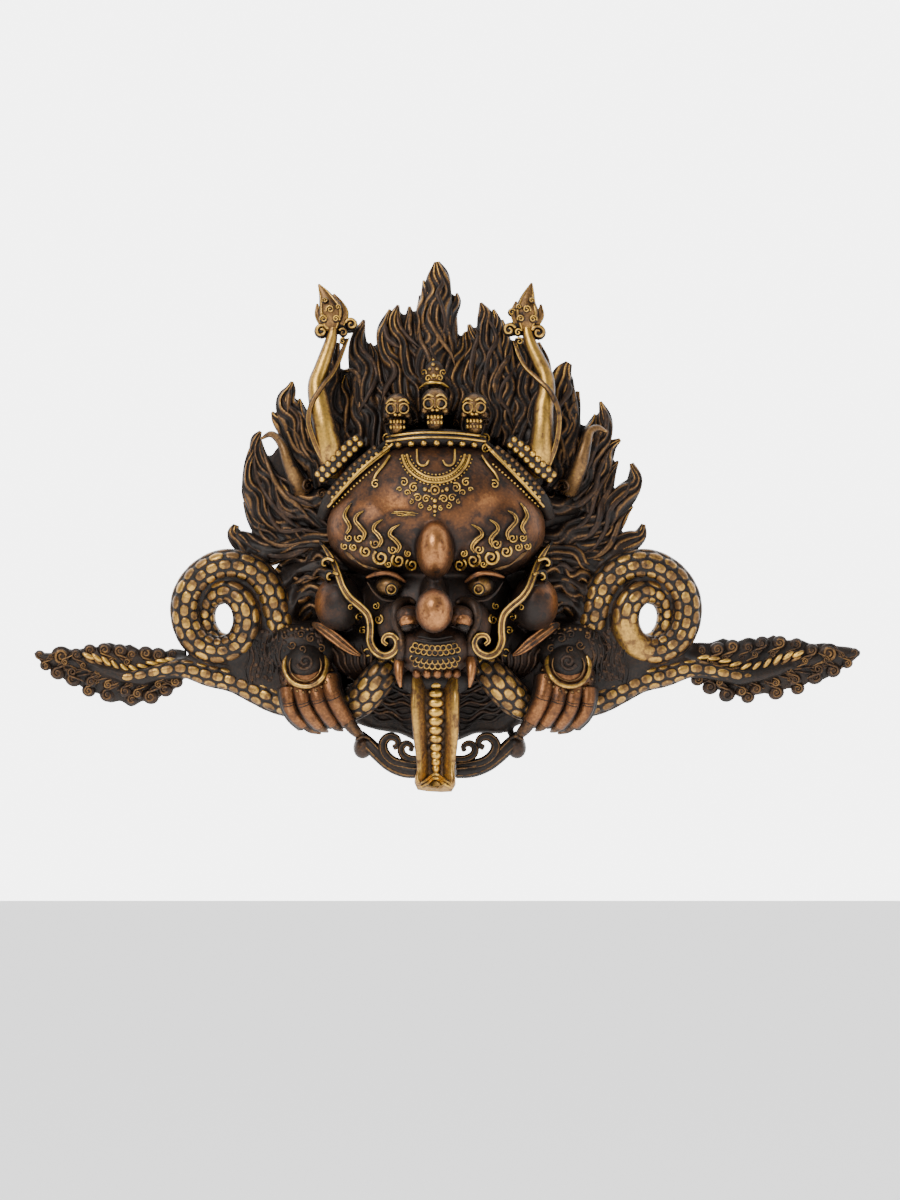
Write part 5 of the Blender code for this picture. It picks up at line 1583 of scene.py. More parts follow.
    def finial(self, work: Carver) -> None:
        """Lays the collar, curls and beads of the finial over the middle skull.

        Args:
            work: What lays them.
        """
        work.ridge([(-10.8, 28.2, 1.0), (-6, 31, 1.4), (-1.4, 31.6, 1.5), (3.4, 31, 1.4), (8, 28.4, 1.0)],
                   Tone.GOLD, 0.8)
        for spot in self.finial_curls:
            work.curl(*spot, rise=0.8)
        for spot in self.finial_beads:
            work.bead(*spot, rise=0.6)

    def build(self, finish: bpy.types.Material, under: list[bpy.types.Object]) -> list[bpy.types.Object]:
        """Makes the bands and skulls, then lays the beads and the jewel over them.

        Args:
            finish: The material they get.
            under: The pieces that the carving lies on.

        Returns:
            The finished pieces.
        """
        base = self.base(finish)
        work = Carver(Relief("jewels"), Ground([*under, base]))
        self.bands(work)
        self.jewel(work)
        self.finial(work)
        return [base, work.relief.finish(finish)]


@dataclass
class Features:
    """The features of the face: third eye boss, nose, eyes, brows, cheeks, lips, teeth and the curled whiskers."""

    brow: list[tuple[Rows, tuple[float, float, float]]] = field(default_factory=lambda: [
        ([(-56.3, -49.4, 0.5), (-59.4, -53.8, 1.6), (-60.6, -58, 2.1), (-58.4, -62, 2.3), (-57, -65.4, 2.1),
          (-59.2, -69.2, 1.4)], (-57.6, -72.4, 2.5)),
        ([(-48, -54.6, 0.5), (-52, -57.2, 1.7), (-53.4, -61, 2.2), (-50.4, -65, 2.5), (-47.2, -69.2, 2.3),
          (-48.2, -73.4, 1.5)], (-50.8, -72.6, 3.0)),
        ([(-35.6, -60.4, 0.5), (-40, -63.4, 1.7), (-41.2, -67.2, 2.2), (-38, -70.6, 2.5), (-36, -74.4, 2.3),
          (-37.6, -78, 1.5)], (-40, -76.4, 3.2)),
        ([(-24, -63.8, 0.5), (-29, -66.8, 1.7), (-30.6, -70.6, 2.2), (-26.6, -74.2, 2.5), (-23.8, -78.4, 2.3),
          (-25.6, -82, 1.5)], (-28.4, -80.2, 3.0)),
    ])
    lower_brow: list[tuple[float, float, float]] = field(default_factory=lambda: [
        (-60.6, -78, 2.4), (-54.6, -78.6, 2.6), (-46.4, -81.4, 3.8), (-36.4, -85.4, 5.2), (-24.8, -87.4, 4.6),
        (-15.8, -90.2, 4.2), (-18.4, -82.8, 2.4), (-31.4, -89.8, 2.4)])
    whisker: Rows = field(default_factory=lambda: [
        (-76, -76.5, 33, 0.8), (-71.4, -83, 41, 2.2), (-67.4, -90, 48, 2.7), (-64.4, -98, 54, 2.8),
        (-61.6, -105.4, 58, 2.9), (-57, -112, 60, 3.0), (-50.6, -117.4, 60, 3.0), (-45.4, -122.8, 60, 3.0),
        (-43.6, -128.6, 59, 3.0), (-43.4, -134.5, 58, 3.1), (-43.6, -141, 57, 3.2), (-40, -147.8, 58, 3.2),
        (-33.6, -150.6, 63, 3.1), (-27.4, -147.6, 70, 2.8), (-25.4, -142, 74, 2.5), (-28, -137.4, 75, 2.3),
        (-32.8, -137, 74, 2.0), (-35, -140.6, 72, 1.7), (-32.4, -143, 72, 1.6)])
    beard: Rows = field(default_factory=lambda: [
        (-82, -129.6, 32, 1.6), (-77, -132, 36, 3.4), (-70.6, -136.4, 40, 4.2), (-62.6, -142.4, 43, 4.0),
        (-55.6, -147.6, 44, 2.8), (-50.6, -150.4, 44, 0.8)])
    fold: Rows = field(default_factory=lambda: [
        (-13.5, -116, 1.6), (-18.3, -113.8, 2.8), (-24.5, -116.5, 3.8), (-27.2, -123.4, 3.6),
        (-26, -131.4, 3.4), (-23, -138.5, 3.2), (-22.3, -146.5, 3.2), (-24.3, -152.8, 3.0), (-26, -157, 2.4)])
    leaves: list[tuple[float, float, float, int]] = field(default_factory=lambda: [
        (-73.6, -88.4, 1.3, 0), (-70.4, -97.6, 1.4, 1), (-67.4, -106.4, 1.5, 0), (-60.6, -116.4, 1.6, 1)])
    comb: list[tuple[float, int]] = field(default_factory=lambda: [
        (-145.4, 8), (-148.5, 9), (-154.4, 9), (-157.5, 8)])
    creases: list[tuple[float, float]] = field(default_factory=lambda: [
        (-139.2, 11), (-141.8, 13), (-151.5, 15)])
    teeth: tuple[float, ...] = (-12.6, -5.8, 1.0, 7.8, 13.6)
    least_blade: float = 1.7
    blade_tall: float = 3.3
    curls: list[Curl] = field(default_factory=lambda: [
        (-50.8, -125, 2.8, 60, 1.2), (-48.8, -134, 2.6, 60, 1.2), (-56.5, -118.6, 2.0, 60, 1.1),
        (-70.5, -93, 2.0, 40, 1.1), (-40, -117.6, 2.5, 60, -1.3), (-38.2, -126.4, 3.2, 60, -1.3)])

    def base(self, finish: bpy.types.Material) -> bpy.types.Object:
        """Makes the bosses that the finer work lies on, and dark bosses that paint the shade of the nostril holes.

        Args:
            finish: The material they get.

        Returns:
            The finished piece.
        """
        relief = Relief("features")
        relief.ball((-1.1, -120.5, 91), (12.4, 15, 16.4), Tone.RUBBED, 36)
        for side in (-1, 1):
            x = side * 30.4 - 0.6
            relief.ball((x, -104.2, 51), (9.8, 7.8, 11), Tone.DULL, 30)
            relief.ball((side * 18 - 0.3, -126.5, 79), (7.0, 5.4, 10), Tone.RUBBED, 18, side * -25)
            # A dark boss in each nostril: painted shade standing for the nostril hole.
            relief.ball((side * 18.2 - 0.3, -131, 82), (4.6, 3.2, 6), Tone.SOOT, 14, side * -20)
        relief.ball((-0.6, -168, 44), (24, 11, 14), Tone.SOOT, 24)
        return relief.finish(finish)

    def eye(self, work: Carver, side: int) -> None:
        """Lays the lids and the ringed pupil of one eye.

        Args:
            work: What lays them.
            side: -1 for the left eye, 1 for the right one.
        """
        x = side * 28.9 - 0.6
        work.ring(x, -106.6, 3.9, 0.5, Tone.SOOT)
        work.ring(x, -106.6, 2.9, 0.6, Tone.GOLD, 0.5)
        work.bead(x, -106.6, 1.5, Tone.DULL, 0.5)
        upper = [(45.6, -98.6), (38.6, -96.2), (31.5, -95.6), (25.5, -97.6), (19.8, -101.6)]
        lower = [(45, -101.8), (40.6, -108.6), (34.8, -113.2), (27.2, -114.4), (21, -111.4)]
        for rows, half in ((upper, 1.9), (lower, 0.9)):
            path = [(side * a - 0.5, b, 58 + 2.4 * half - 0.022 * (a - 31) ** 2,
                     half if 0 < k < 4 else half * 0.5)
                    for k, (a, b) in enumerate(rows)]
            work.relief.strand(path, Tone.SKIN if half > 1 else Tone.FOLD, sides=8, step=1.1)

    def mouth(self, work: Carver) -> None:
        """Lays the lip's honeycomb, the round teeth and the fangs.

        Args:
            work: What lays them.
        """
        for z, count in self.comb:
            for k in range(count):
                x = (k - (count - 1) / 2) * 3.7 - 0.5
                work.ring(x, z + 0.010 * x * x, 1.75, 0.55, Tone.GOLD, 0.2)
        for z, wide in self.creases:
            work.ridge([(-wide - 0.5, z + 1.6, 0.7), (-0.5, z, 1.1), (wide - 0.5, z + 1.6, 0.7)], Tone.SOOT,
                       0.1)
        for x in self.teeth:
            work.relief.ball((x, -162.2, 78 - 0.04 * x * x), (3.1, 3.4, 3.6), Tone.SKIN, 14)
        for side in (-1, 1):
            x = side * 24 - 0.5
            fang = [(x - side * 0.6, -153, 70, 3.6), (x, -158, 74, 3.6), (x - side * 0.2, -164.5, 76.5, 2.6),
                    (x - side * 1.2, -171, 77, 0.9)]
            work.relief.strand(fang, Tone.RUBBED, sides=14, step=0.9)

    def tufts(self, work: Carver, flip: bool) -> None:
        """Lays the brow's flaming tufts, its rows of curls and the lines under them.

        Args:
            work: What lays them.
            flip: Whether it is the right side.
        """
        sign = -1.0 if flip else 1.0
        for tuft, boss in self.brow:
            band = on_side([(x, z, half * 0.85) for x, z, half in tuft], flip)
            work.banded(band, Tone.SOOT, Tone.GOLD, 2, 0.4)
            x, z, radius = on_side([boss], flip)[0]
            work.curl(x, z, radius, 90 + sign * 60, sign * 1.3, rise=0.9)
        for spot in self.lower_brow:
            x, z, radius = on_side([spot], flip)[0]
            work.curl(x, z, radius, 90 + sign * 40, sign * 1.4, rise=1.0)
        for k in range(4):
            line = [(-61 + 1.2 * k, -81 - 0.6 * k, 0.3), (-56 + 1.6 * k, -86 - 0.9 * k, 0.8),
                    (-49 + 1.8 * k, -90 - 0.9 * k, 0.9), (-41 + 1.9 * k, -92.4 - 0.5 * k, 0.3)]
            work.ridge(on_side(line, flip), Tone.DULL, 0.15)

    def whiskers(self, work: Carver, flip: bool) -> None:
        """Adds the long curled whisker and the bearded jaw, ridged along their length, with leaves beside.

        Args:
            work: What lays them.
            flip: Whether it is the right side.
        """
        whisker, beard = (self.whisker, (-0.5, 0.5), Tone.GOLD), (self.beard, (-0.66, 0.0, 0.66), Tone.RUBBED)
        for rows, shares, tone in (whisker, beard):
            path = resample(on_side(rows, flip), 1.1)
            blade = []
            for x, z, depth, half in path:
                thick = max(half, self.least_blade)
                blade.append((x, z, depth - 3.2 * thick, 0.86 * thick))
            work.relief.strand(blade, Tone.SOOT, sides=14, tall=self.blade_tall)
            work.relief.strand(path, Tone.HAIR, sides=12, tall=0.8)
            width = 0.44 / len(shares) + 0.08
            for share in shares:
                ridge = across(path, share, 0.74 * math.sqrt(1 - share * share), width)
                work.relief.strand(ridge, tone, sides=8, step=1.1)
        for x, z, half, bend in self.leaves:
            leaf = [(x + 5.6, z + 1.0, 54 + 2.6 * bend, half), (x + 1.6, z + 2.4, 53, half * 0.9),
                    (x - 1.4, z + 1.0, 51, half * 0.8), (x - 1.6, z - 1.8, 49, half * 0.7),
                    (x + 0.4, z - 2.4, 49, half * 0.5)]
            behind = [(a, b, depth - 7.0, wide * 1.3) for a, b, depth, wide in leaf]
            work.relief.strand(on_side(leaf, flip), Tone.GOLD, sides=8, step=0.8)
            work.relief.strand(on_side(behind, flip), Tone.SOOT, sides=8, tall=5.0)

    def cheek(self, work: Carver, flip: bool) -> None:
        """Lays the jaw's hair, the fold beside the nose and the cheek's curls.

        Args:
            work: What lays them.
            flip: Whether it is the right side.
        """
        sign = -1.0 if flip else 1.0
        for k in range(6):
            line = [(-72 + 5.6 * k, -139 - 1.2 * k, 0.5), (-70 + 5.2 * k, -145 - 0.8 * k, 1.4),
                    (-66 + 4.6 * k, -150, 1.5), (-65 + 4.4 * k, -156, 1.4), (-61 + 4.0 * k, -162, 0.6)]
            work.ridge(on_side(line, flip), Tone.FOLD, 0.2)
        if not flip:
            self.scratches(work)
        work.ridge(on_side([(x, z, half * 1.02) for x, z, half in self.fold], flip), Tone.FOLD, 0.6)
        for x, z, radius, start, turns in self.curls:
            x, z = on_side([(x, z)], flip)[0]
            work.curl(x, z, radius, 180 - start if flip else start, turns * sign, rise=0.6)
        work.ring(*on_side([(-45.9, -148.6)], flip)[0], 2.3, 0.8)

    def scratches(self, work: Carver) -> None:
        """Lays the fine scratches on the left of the forehead.

        Args:
            work: What lays them.
        """
        for k in range(7):
            x, z = -12 - 1.7 * k, -56.5 - 1.3 * math.sin(2.1 * k)
            line = [(x, z, 0.16), (x - 3.5, z + 0.5 * math.cos(k), 0.24), (x - 7, z + 0.3, 0.16)]
            work.ridge(line, Tone.GOLD, 0.0)

    def build(self, finish: bpy.types.Material, under: list[bpy.types.Object]) -> list[bpy.types.Object]:
        """Makes the bosses, then the fine carving over the whole face.

        Args:
            finish: The material they get.
            under: The pieces that the carving lies on.

        Returns:
            The finished pieces.
        """
        base = self.base(finish)
        work = Carver(Relief("face_carving"), Ground([*under, base]))
        for flip in (False, True):
            self.tufts(work, flip)
            self.whiskers(work, flip)
            self.cheek(work, flip)
            self.eye(work, 1 if flip else -1)
        self.mouth(work)
        return [base, work.relief.finish(finish)]


@dataclass
class Tongue:
    """The long tongue: a channel with raised edges, a chain of scallops and a turned-up tip.

    The section is a share of the half width to the side, and how far outward. A scallop is its z and half
    width.
    """

    line: Rows = field(default_factory=lambda: [
        (-0.5, -160, 48, 14.5), (-0.6, -172, 56, 15.4), (-0.6, -184, 60, 15.8), (-0.2, -196, 59, 15.2),
        (0, -208, 56, 14.2), (0, -220, 54, 12.8), (-0.2, -229, 55, 12.4), (-0.6, -235, 58, 13.4),
        (-0.8, -238.4, 60, 12)])
    section: tuple[tuple[float, float], ...] = (
        (-0.94, -3.5), (-1.03, 0.5), (-1.01, 5.0), (-0.95, 6.9), (-0.87, 7.2), (-0.78, 6.6), (-0.66, 5.0),
        (-0.54, 3.2), (-0.46, 1.8), (-0.42, 0.2), (-0.30, -0.2), (0.0, -0.3), (0.30, -0.2), (0.42, 0.2),
        (0.46, 1.8), (0.54, 3.2), (0.66, 5.0), (0.78, 6.6), (0.87, 7.2), (0.95, 6.9), (1.01, 5.0),
        (1.03, 0.5), (0.94, -3.5), (0.4, -5.0), (-0.4, -5.0))
    scallops: tuple[tuple[float, float], ...] = (
        (-170, 4.4), (-176, 5.0), (-182, 5.3), (-188, 5.3), (-194, 5.1), (-200, 4.9), (-205.8, 4.6),
        (-211.4, 4.3), (-216.6, 3.9), (-221.4, 3.4), (-225.8, 2.8))
    crest: float = 0.78
    slope: float = 0.62
    flank: float = 0.45
    floor: float = 0.36
    underside: float = 0.10
    tip: float = 0.72
    tip_from: float = 0.86
    tip_over: float = 0.06
    copper: float = 0.15

    def build(self, finish: bpy.types.Material) -> list[bpy.types.Object]:
        """Makes the channel, then lays the scallops and the folds of the tip in it.

        Args:
            finish: The material they get.

        Returns:
            The finished pieces.
        """
        relief = Relief("tongue")
        path = resample(self.line, 1.2)
        centre = places(path[:, 0], path[:, 1], path[:, 2])
        side, out = frames(centre)
        share = np.array([s for s, _ in self.section])
        tall = np.array([h for _, h in self.section])
        rings = (centre[:, None] + side[:, None] * (share[None] * path[:, 3:4])[..., None]
                 + out[:, None] * np.broadcast_to(tall, (len(path), len(tall)))[..., None])
        polish = np.where(tall > 5.5, self.crest, np.where(tall > 1.5, self.slope, self.underside))
        polish = np.where((np.abs(share) > 0.99) & (tall < 6), self.flank, polish)
        polish = np.where((tall < 1.0) & (tall > -1.0) & (np.abs(share) > 0.2), self.floor, polish)
        tip = np.clip((np.linspace(0.0, 1.0, len(path))[:, None] - self.tip_from) / self.tip_over, 0.0, 1.0)
        relief.tube(rings, polish[None] + (self.tip - polish[None]) * tip, self.copper)
        base = relief.finish(finish)
        work = Carver(Relief("tongue_carving"), Ground([base]))
        for z, wide in self.scallops:
            depth = work.ground.depth(0, z)
            work.relief.ball((0, z, depth + 0.3), (wide * 1.08, 3.6, 3.4), Tone.GOLD, 20)
        for lift in (0.0, 2.6):
            work.ridge([(-9.8, -237.4 + lift, 1.0), (-6.0, -235.4 + lift, 1.5), (-0.4, -231.8 + lift, 1.6),
                        (5.4, -235.4 + lift, 1.5), (9.2, -237.4 + lift, 1.0)], Tone.GOLD, 0.5, 0.8)
        return [base, work.relief.finish(finish)]


@dataclass
class Hands:
    """The two clawed hands that hold the serpents, with their shields and knobs."""

    fingers: list[Rows] = field(default_factory=lambda: [
        [(-72, -166, 40, 7.4), (-68.5, -178, 46, 6.2), (-64.2, -186.5, 44.5, 5.7), (-59, -194.5, 39, 5.4)],
        [(-80.5, -170, 42, 5.8), (-78, -181, 47, 4.8), (-74, -188.5, 45, 4.5), (-69, -195, 39, 4.3)],
        [(-90, -172, 41, 5.6), (-87.6, -183, 45, 4.6), (-83.6, -190.4, 43, 4.4), (-78.5, -196.5, 36, 4.2)],
        [(-99, -173, 38, 5.6), (-98, -183.5, 41, 4.6), (-94.5, -190.5, 39, 4.3), (-89, -196, 33, 4.1)],
    ])
    claws: list[Rows] = field(default_factory=lambda: [
        [(-59.5, -194, 41, 4.6), (-55, -199.5, 37, 4.2), (-51, -203.8, 31, 3.0), (-46.5, -207.5, 26, 1.0)],
        [(-70, -194, 41, 3.9), (-66, -198, 36, 3.2), (-62.5, -200.8, 30, 1.0)],
        [(-80, -195, 38, 3.9), (-76, -199, 33, 3.2), (-72.5, -201.6, 27, 1.0)],
        [(-89.5, -194.5, 35, 3.7), (-84, -199.4, 30, 3.2), (-77.5, -202.8, 24, 1.0)],
    ])
    vine: Rows = field(default_factory=lambda: [
        (-51, -205, 24, 4.6), (-44.5, -210.5, 28, 5), (-37.6, -217.4, 31, 5), (-30, -223.8, 33, 4.9),
        (-21, -227.6, 35, 4.7), (-12, -228.4, 38, 4.3)])
    big: Rows = field(default_factory=lambda: [
        (-12, -224.4, 37, 2.8), (-20, -223.6, 36, 3.4), (-28.5, -221.4, 35, 3.6), (-34.2, -216, 34, 3.6),
        (-35.4, -209.4, 33, 3.4), (-31.6, -205, 32.5, 3.1), (-26.6, -206, 32.5, 2.7), (-25.2, -210, 33, 2.3),
        (-28.2, -212.2, 33.5, 2.0)])
    small: Rows = field(default_factory=lambda: [
        (-11, -219.6, 37, 2.4), (-17, -219.8, 36, 2.8), (-22, -217, 35.5, 2.8), (-23.2, -212.4, 35, 2.6),
        (-20, -209.2, 35, 2.3), (-16.4, -211, 35, 2.0), (-16.8, -214.2, 35.5, 1.7)])
    cuff: list[tuple[float, float]] = field(default_factory=lambda: [
        (-103, -131), (-99.5, -131.5), (-96.5, -133.4), (-93, -133), (-89.4, -132.4), (-85.8, -133.4),
        (-82, -132.6), (-101, -135.6), (-78.4, -134)])
    grains: int = 190
    grain_seed: int = 11
    wrist: list[Curl] = field(default_factory=lambda: [
        (-83.5, -139, 3.4, 60, 1.2), (-90, -136.6, 2.8, 20, 1.2), (-96, -143.6, 3.0, 200, 1.3),
        (-76.5, -146, 2.8, 120, -1.2), (-89, -146.4, 2.6, 300, 1.1), (-101, -137.6, 2.4, 90, 1.1)])

    def finger(self, relief: Relief, flip: bool, number: int) -> None:
        """Adds one finger with its claw, its creases and the dark ground behind it.

        Args:
            relief: The piece it belongs to.
            flip: Whether it is on the right hand.
            number: Which finger it is.
        """
        path = resample(on_side(self.fingers[number], flip), 0.9)
        path[:, 3] *= 1.0 if number == 0 else 1.08
        relief.strand(path, Tone.SKIN, sides=18, step=0.9)
        relief.strand([(x, z, depth - 6.5, half + 1.8) for x, z, depth, half in path], Tone.SOOT, sides=10)
        relief.strand(on_side(self.claws[number], flip), Tone.CLAW, sides=12, step=0.9)
        for at in (0.36, 0.43):
            k = int(at * (len(path) - 1))
            x, z, depth, half = path[k]
            ahead = path[k + 1, :2] - path[k - 1, :2]
            ahead /= np.linalg.norm(ahead)
            crease = []
            for s in (-0.7, -0.35, 0.0, 0.35, 0.7):
                crease.append((x - ahead[1] * s * half + ahead[0] * (1 - s * s),
                               z + ahead[0] * s * half + ahead[1] * (1 - s * s),
                               depth + half * math.sqrt(1 - s * s) - 0.1, 0.36))
            relief.strand(crease, Tone.SOOT, sides=6, step=0.9)

    def base(self, finish: bpy.types.Material, name: str, flip: bool) -> bpy.types.Object:
        """Makes the back of one hand, its fingers and the scrolls that it holds.

        Args:
            finish: The material they get.
            name: The piece's name.
            flip: Whether it is the right hand.

        Returns:
            The finished piece.
        """
        relief = Relief(name)
        relief.ball((*on_side([(-86, -165)], flip)[0], 26), (19, 17, 20), Tone.SKIN, 32)
        relief.ball((*on_side([(-90, -147)], flip)[0], 22), (24, 18, 14), Tone.SOOT, 28)
        relief.ball((*on_side([(-87, -157)], flip)[0], 30), (14.4, 14.6, 18), Tone.SOOT, 28)
        for number in range(len(self.fingers)):
            self.finger(relief, flip, number)
        knob = on_side([(-48.5, -211.5)], flip)[0]
        relief.ball((*knob, 24), (6.8, 8.4, 9), Tone.FOLD, 20, 15 if flip else -15)
        for rows in (self.vine, self.big, self.small):
            relief.strand(on_side(rows, flip), Tone.SOOT, sides=14)
        return relief.finish(finish)

    def plate(self, work: Carver, flip: bool) -> None:
        """Lays the crescent, curls and beads on the back of one hand.

        Args:
            work: What lays them.
            flip: Whether it is the right side.
        """
        sign = -1.0 if flip else 1.0
        for radius, half, tone in ((14.2, 2.0, Tone.BRIGHT), (10.6, 0.7, Tone.DULL)):
            ring = [(-87 + radius * math.cos(a), -157 + radius * math.sin(a),
                     half * (1.0 if 0 < k < 15 else 0.4))
                    for k, a in enumerate(np.radians(np.linspace(-205, 25, 16)))]
            work.ridge(on_side(ring, flip), tone, 0.9)
        work.curl(*on_side([(-87, -154.5)], flip)[0], 5.6, 90 + sign * 110, sign * 1.4, Tone.FOLD, 0.2)
        turns = np.radians(np.arange(-150, -9, 14))
        for x, z in on_side([(-87 + 17.4 * math.cos(a), -157.4 + 17.6 * math.sin(a)) for a in turns], flip):
            work.bead(x, z, 1.25, Tone.DULL)
        for x, z, radius, start, turns in self.wrist:
            x, z = on_side([(x, z)], flip)[0]
            work.curl(x, z, radius, 180 - start if flip else start, turns * sign, Tone.HAIR, 0.3)

    def sleeve(self, work: Carver, flip: bool) -> None:
        """Lays the waves, grains and beads between the hand and the serpent.

        Args:
            work: What lays them.
            flip: Whether it is the right side.
        """
        for k in range(8):
            wave = []
            for j in range(7):
                sway = 1.3 * math.sin(1.3 * j + 0.8 * k)
                wave.append((-103.5 - 3.3 * k + sway, -134 - 4.6 * j - 1.2 * k, 0.5 + 0.35 * (j % 6 > 0)))
            work.ridge(on_side(wave, flip), Tone.FOLD if k % 3 == 0 else Tone.SOOT, -0.25)
        draws = np.random.default_rng(self.grain_seed + flip)
        for across_share, down_share, size in draws.random((self.grains, 3)):
            x, z = -76 - 48 * across_share, -133 - 36 * down_share
            off_the_hand = math.hypot(x + 87, z + 157) > 17
            if off_the_hand and z > -172 - 0.105 * (x + 76):
                a, b = on_side([(x, z)], flip)[0]
                work.relief.ball((a, b, work.ground.depth(a, b) - 0.4), (0.9 + 1.3 * size, 0.8 + size, 0.9),
                                 Tone.FOLD, 8, 180 * size)
        for x, z in on_side(self.cuff, flip):
            work.bead(x, z, 1.4, Tone.DULL)

    def one(self, finish: bpy.types.Material, name: str, flip: bool,
            under: list[bpy.types.Object]) -> list[bpy.types.Object]:
        """Makes one hand with what it holds.

        Args:
            finish: The material they get.
            name: The piece's name.
            flip: Whether it is the right hand.
            under: The pieces that the carving lies on.

        Returns:
            The hand and its carving.
        """
        base = self.base(finish, name, flip)
        work = Carver(Relief(name + "_carving"), Ground([*under, base]))
        self.plate(work, flip)
        self.sleeve(work, flip)
        for rows in (self.vine, self.big, self.small):
            path = resample(on_side(rows, flip), 1.1)
            for share, width in ((-0.55, 0.2), (0.5, 0.14)):
                ridge = across(path, share, math.sqrt(1 - share * share) * 0.95, width)
                work.relief.strand(ridge, Tone.DULL, sides=6, step=1.1)
        knot = [(-44, -206.5, 1.0), (-48.5, -204.6, 1.3), (-53, -206.8, 1.0)]
        work.ridge(on_side(knot, flip), Tone.HAIR, 0.8)
        return [base, work.relief.finish(finish)]

    def build(self, finish: bpy.types.Material, under: list[bpy.types.Object]) -> list[bpy.types.Object]:
        """Makes both hands."""
        return [*self.one(finish, "left_hand", False, under), *self.one(finish, "right_hand", True, under)]


@dataclass
class ChinHair:
    """The dark wavy hair under the chin, behind the tongue and the hands."""

    rows: int = 12
    columns: int = 19
    reach: float = 47.0
    start: float = 12.0
    top: float = -167.0
    gap: float = 3.1

    def build(self, finish: bpy.types.Material, under: list[bpy.types.Object]) -> list[bpy.types.Object]:
        """Lays wavy strands that run out from the chin to both sides.

        Args:
            finish: The material they get.
            under: The pieces that the carving lies on.

        Returns:
            The finished pieces.
        """
        work = Carver(Relief("chin_hair"), Ground(under))
        for side in (-1, 1):
            for number in range(self.rows):
                rows = []
                for k in range(self.columns):
                    t = k / (self.columns - 1)
                    waves = 2.6 + 0.5 * math.sin(1.7 * number)
                    sway = 1.7 * math.sin(2 * math.pi * waves * t + 0.8 * number)
                    z = self.top - self.gap * number + (1.2 * number + 2.0) * t + sway
                    half = 1.3 * math.sin(math.pi * (0.08 + 0.88 * t)) + 0.3
                    rows.append((side * (self.start + self.reach * t), z, half))
                work.ridge(rows, Tone.FOLD if number % 3 == 0 else Tone.SOOT, 0.1, 1.3)
        return [work.relief.finish(finish)]


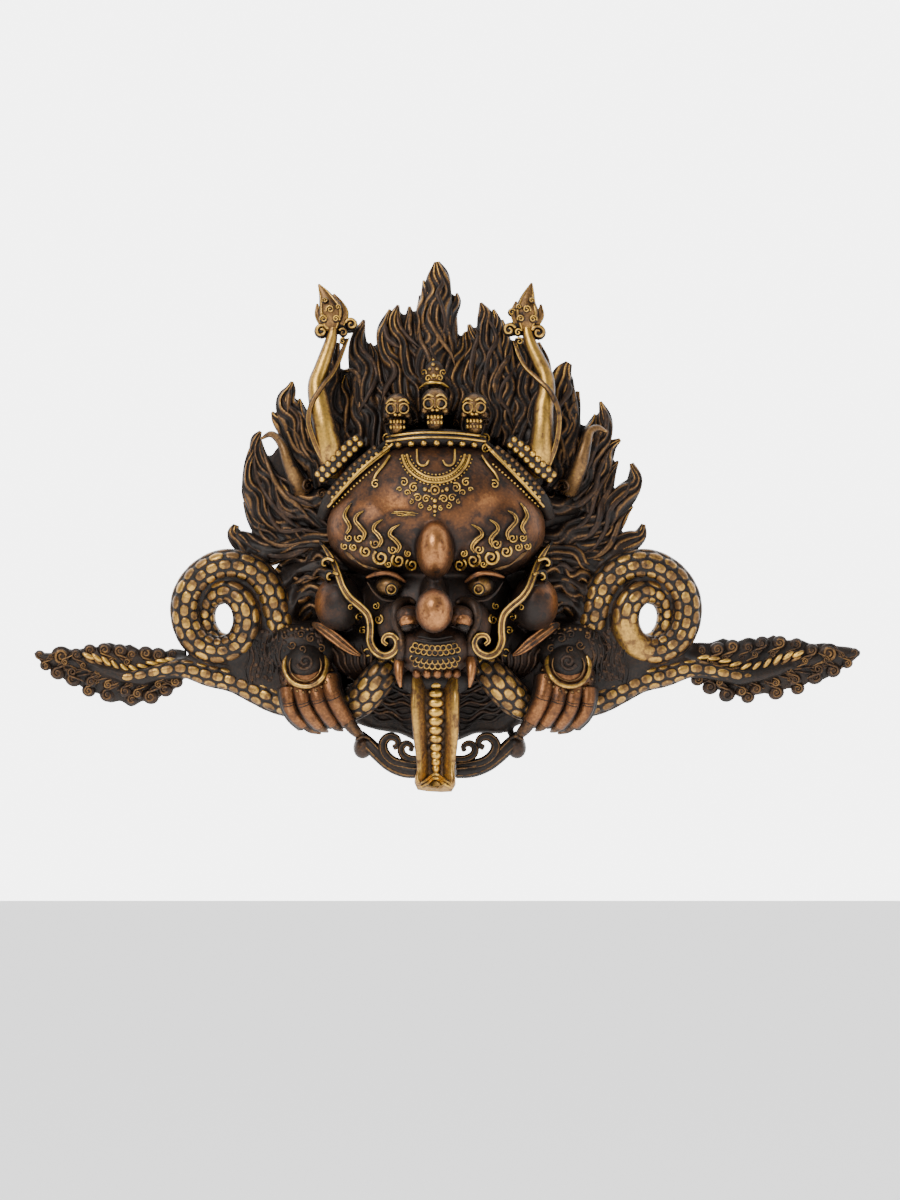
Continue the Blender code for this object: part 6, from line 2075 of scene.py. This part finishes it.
@dataclass
class Studio:
    """The pale floor, the soft light and the camera."""

    floor: float = -0.62
    eye: tuple[float, float, float] = (0.00935, -4.0, -0.1136)
    sensor: float = 24.0
    lens: float = 118.8
    target: tuple[float, float, float] = (0.0, -0.04, -0.08)
    brightness: float = 5.6
    front_tone: tuple[float, float, float, float] = (0.036, 0.036, 0.037, 1.0)
    back_tone: tuple[float, float, float, float] = (1.0, 1.0, 1.0, 1.0)
    tone_stops: tuple[float, float] = (0.42, 0.95)
    pale: tuple[float, float, float, float] = (0.86, 0.86, 0.86, 1.0)

    def lamp(self, name: str, place: tuple[float, float, float], size: float, power: float) -> None:
        """Adds one square soft light aimed at the mask.

        Args:
            name: The light's name.
            place: Where it stands.
            size: The length of its side.
            power: How strong it is, in watts.
        """
        data = bpy.data.lights.new(name, "AREA")
        data.shape, data.size, data.energy = "SQUARE", size, power
        lamp = bpy.data.objects.new(name, data)
        lamp.location = place
        toward = Vector(self.target) - Vector(place)
        lamp.rotation_euler = toward.to_track_quat("-Z", "Y").to_euler()
        bpy.context.scene.collection.objects.link(lamp)

    def surroundings(self) -> None:
        """Lights the room evenly, paler behind the mask than in front of it."""
        world = bpy.data.worlds.new("room")
        bpy.context.scene.world = world
        world.use_nodes = True
        tree = world.node_tree
        tree.nodes.clear()
        out = tree.nodes.new("ShaderNodeOutputWorld")
        light = tree.nodes.new("ShaderNodeBackground")
        light.inputs["Strength"].default_value = self.brightness
        ramp = tree.nodes.new("ShaderNodeValToRGB")
        tones = (self.front_tone, self.back_tone)
        for element, at, tone in zip(ramp.color_ramp.elements, self.tone_stops, tones):
            element.position, element.color = at, tone
        spot = tree.nodes.new("ShaderNodeTexCoord")
        split = tree.nodes.new("ShaderNodeSeparateXYZ")
        shift = tree.nodes.new("ShaderNodeMath")
        shift.operation = "MULTIPLY_ADD"
        shift.inputs[1].default_value, shift.inputs[2].default_value = 0.5, 0.5
        tree.links.new(spot.outputs["Generated"], split.inputs[0])
        tree.links.new(split.outputs["Y"], shift.inputs[0])
        tree.links.new(shift.outputs[0], ramp.inputs[0])
        tree.links.new(ramp.outputs[0], light.inputs["Color"])
        tree.links.new(light.outputs[0], out.inputs["Surface"])

    def build(self) -> None:
        """Makes the floor, the lights and the camera."""
        bpy.ops.object.select_all(action="DESELECT")
        bpy.ops.mesh.primitive_plane_add(size=12.0)
        ground = bpy.context.object
        ground.name = "floor"
        ground.data.transform(ground.matrix_world)
        for vertex in ground.data.vertices:
            vertex.co.z = self.floor
        pale = bpy.data.materials.new("pale_floor")
        pale.use_nodes = True
        base = pale.node_tree.nodes["Principled BSDF"]
        base.inputs["Base Color"].default_value = self.pale
        base.inputs["Roughness"].default_value = 0.7
        ground.data.materials.append(pale)
        self.surroundings()
        self.lamp("key", (-0.9, -1.5, 1.2), 1.0, 30.0)
        self.lamp("fill", (1.5, -1.4, 0.2), 1.2, 9.0)
        self.lamp("low", (-0.3, -1.4, -0.55), 0.8, 3.0)
        data = bpy.data.cameras.new("camera")
        data.sensor_width, data.lens = self.sensor, self.lens
        camera = bpy.data.objects.new("camera", data)
        camera.location, camera.rotation_euler = self.eye, (math.pi / 2, 0.0, 0.0)
        bpy.context.scene.collection.objects.link(camera)
        bpy.context.scene.camera = camera


@dataclass
class Mask:
    """The whole casting as it looks."""

    pieces: list[bpy.types.Object] = field(default_factory=list)

    def keep(self, made: list[bpy.types.Object]) -> None:
        """Puts finished pieces in the place of the plain solid.

        Args:
            made: The pieces.
        """
        for piece in made:
            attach(piece, "root")
            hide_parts(NODE)
            self.pieces.append(piece)

    def build(self, node: bpy.types.Object) -> None:
        """Builds every piece in order, the carving laid on what was made before it.

        Args:
            node: The plain solid.
        """
        finish = Patina().make()
        body = Casting().build(node, finish)
        self.keep([body])
        head = Head().build(finish)
        self.keep([head])
        self.keep(Mane().build(finish))
        self.keep(Horns().build(finish))
        self.keep(Serpents().build(finish))
        self.keep(TailLeaves().build(finish))
        self.keep(ChinHair().build(finish, [body]))
        crown = Crown().build(finish, self.pieces[1:])
        features = Features().build(finish, [head])
        Head().soil(head, [crown[1], features[1]])
        self.keep(crown + features)
        self.keep(Tongue().build(finish))
        self.keep(Hands().build(finish, [body]))


def main() -> None:
    """Builds the mask and the studio round it."""
    logging.basicConfig(level=logging.INFO, format="%(message)s")
    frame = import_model()
    Mask().build(frame["nodes"][NODE])
    Studio().build()


if __name__ == "__main__":
    main()
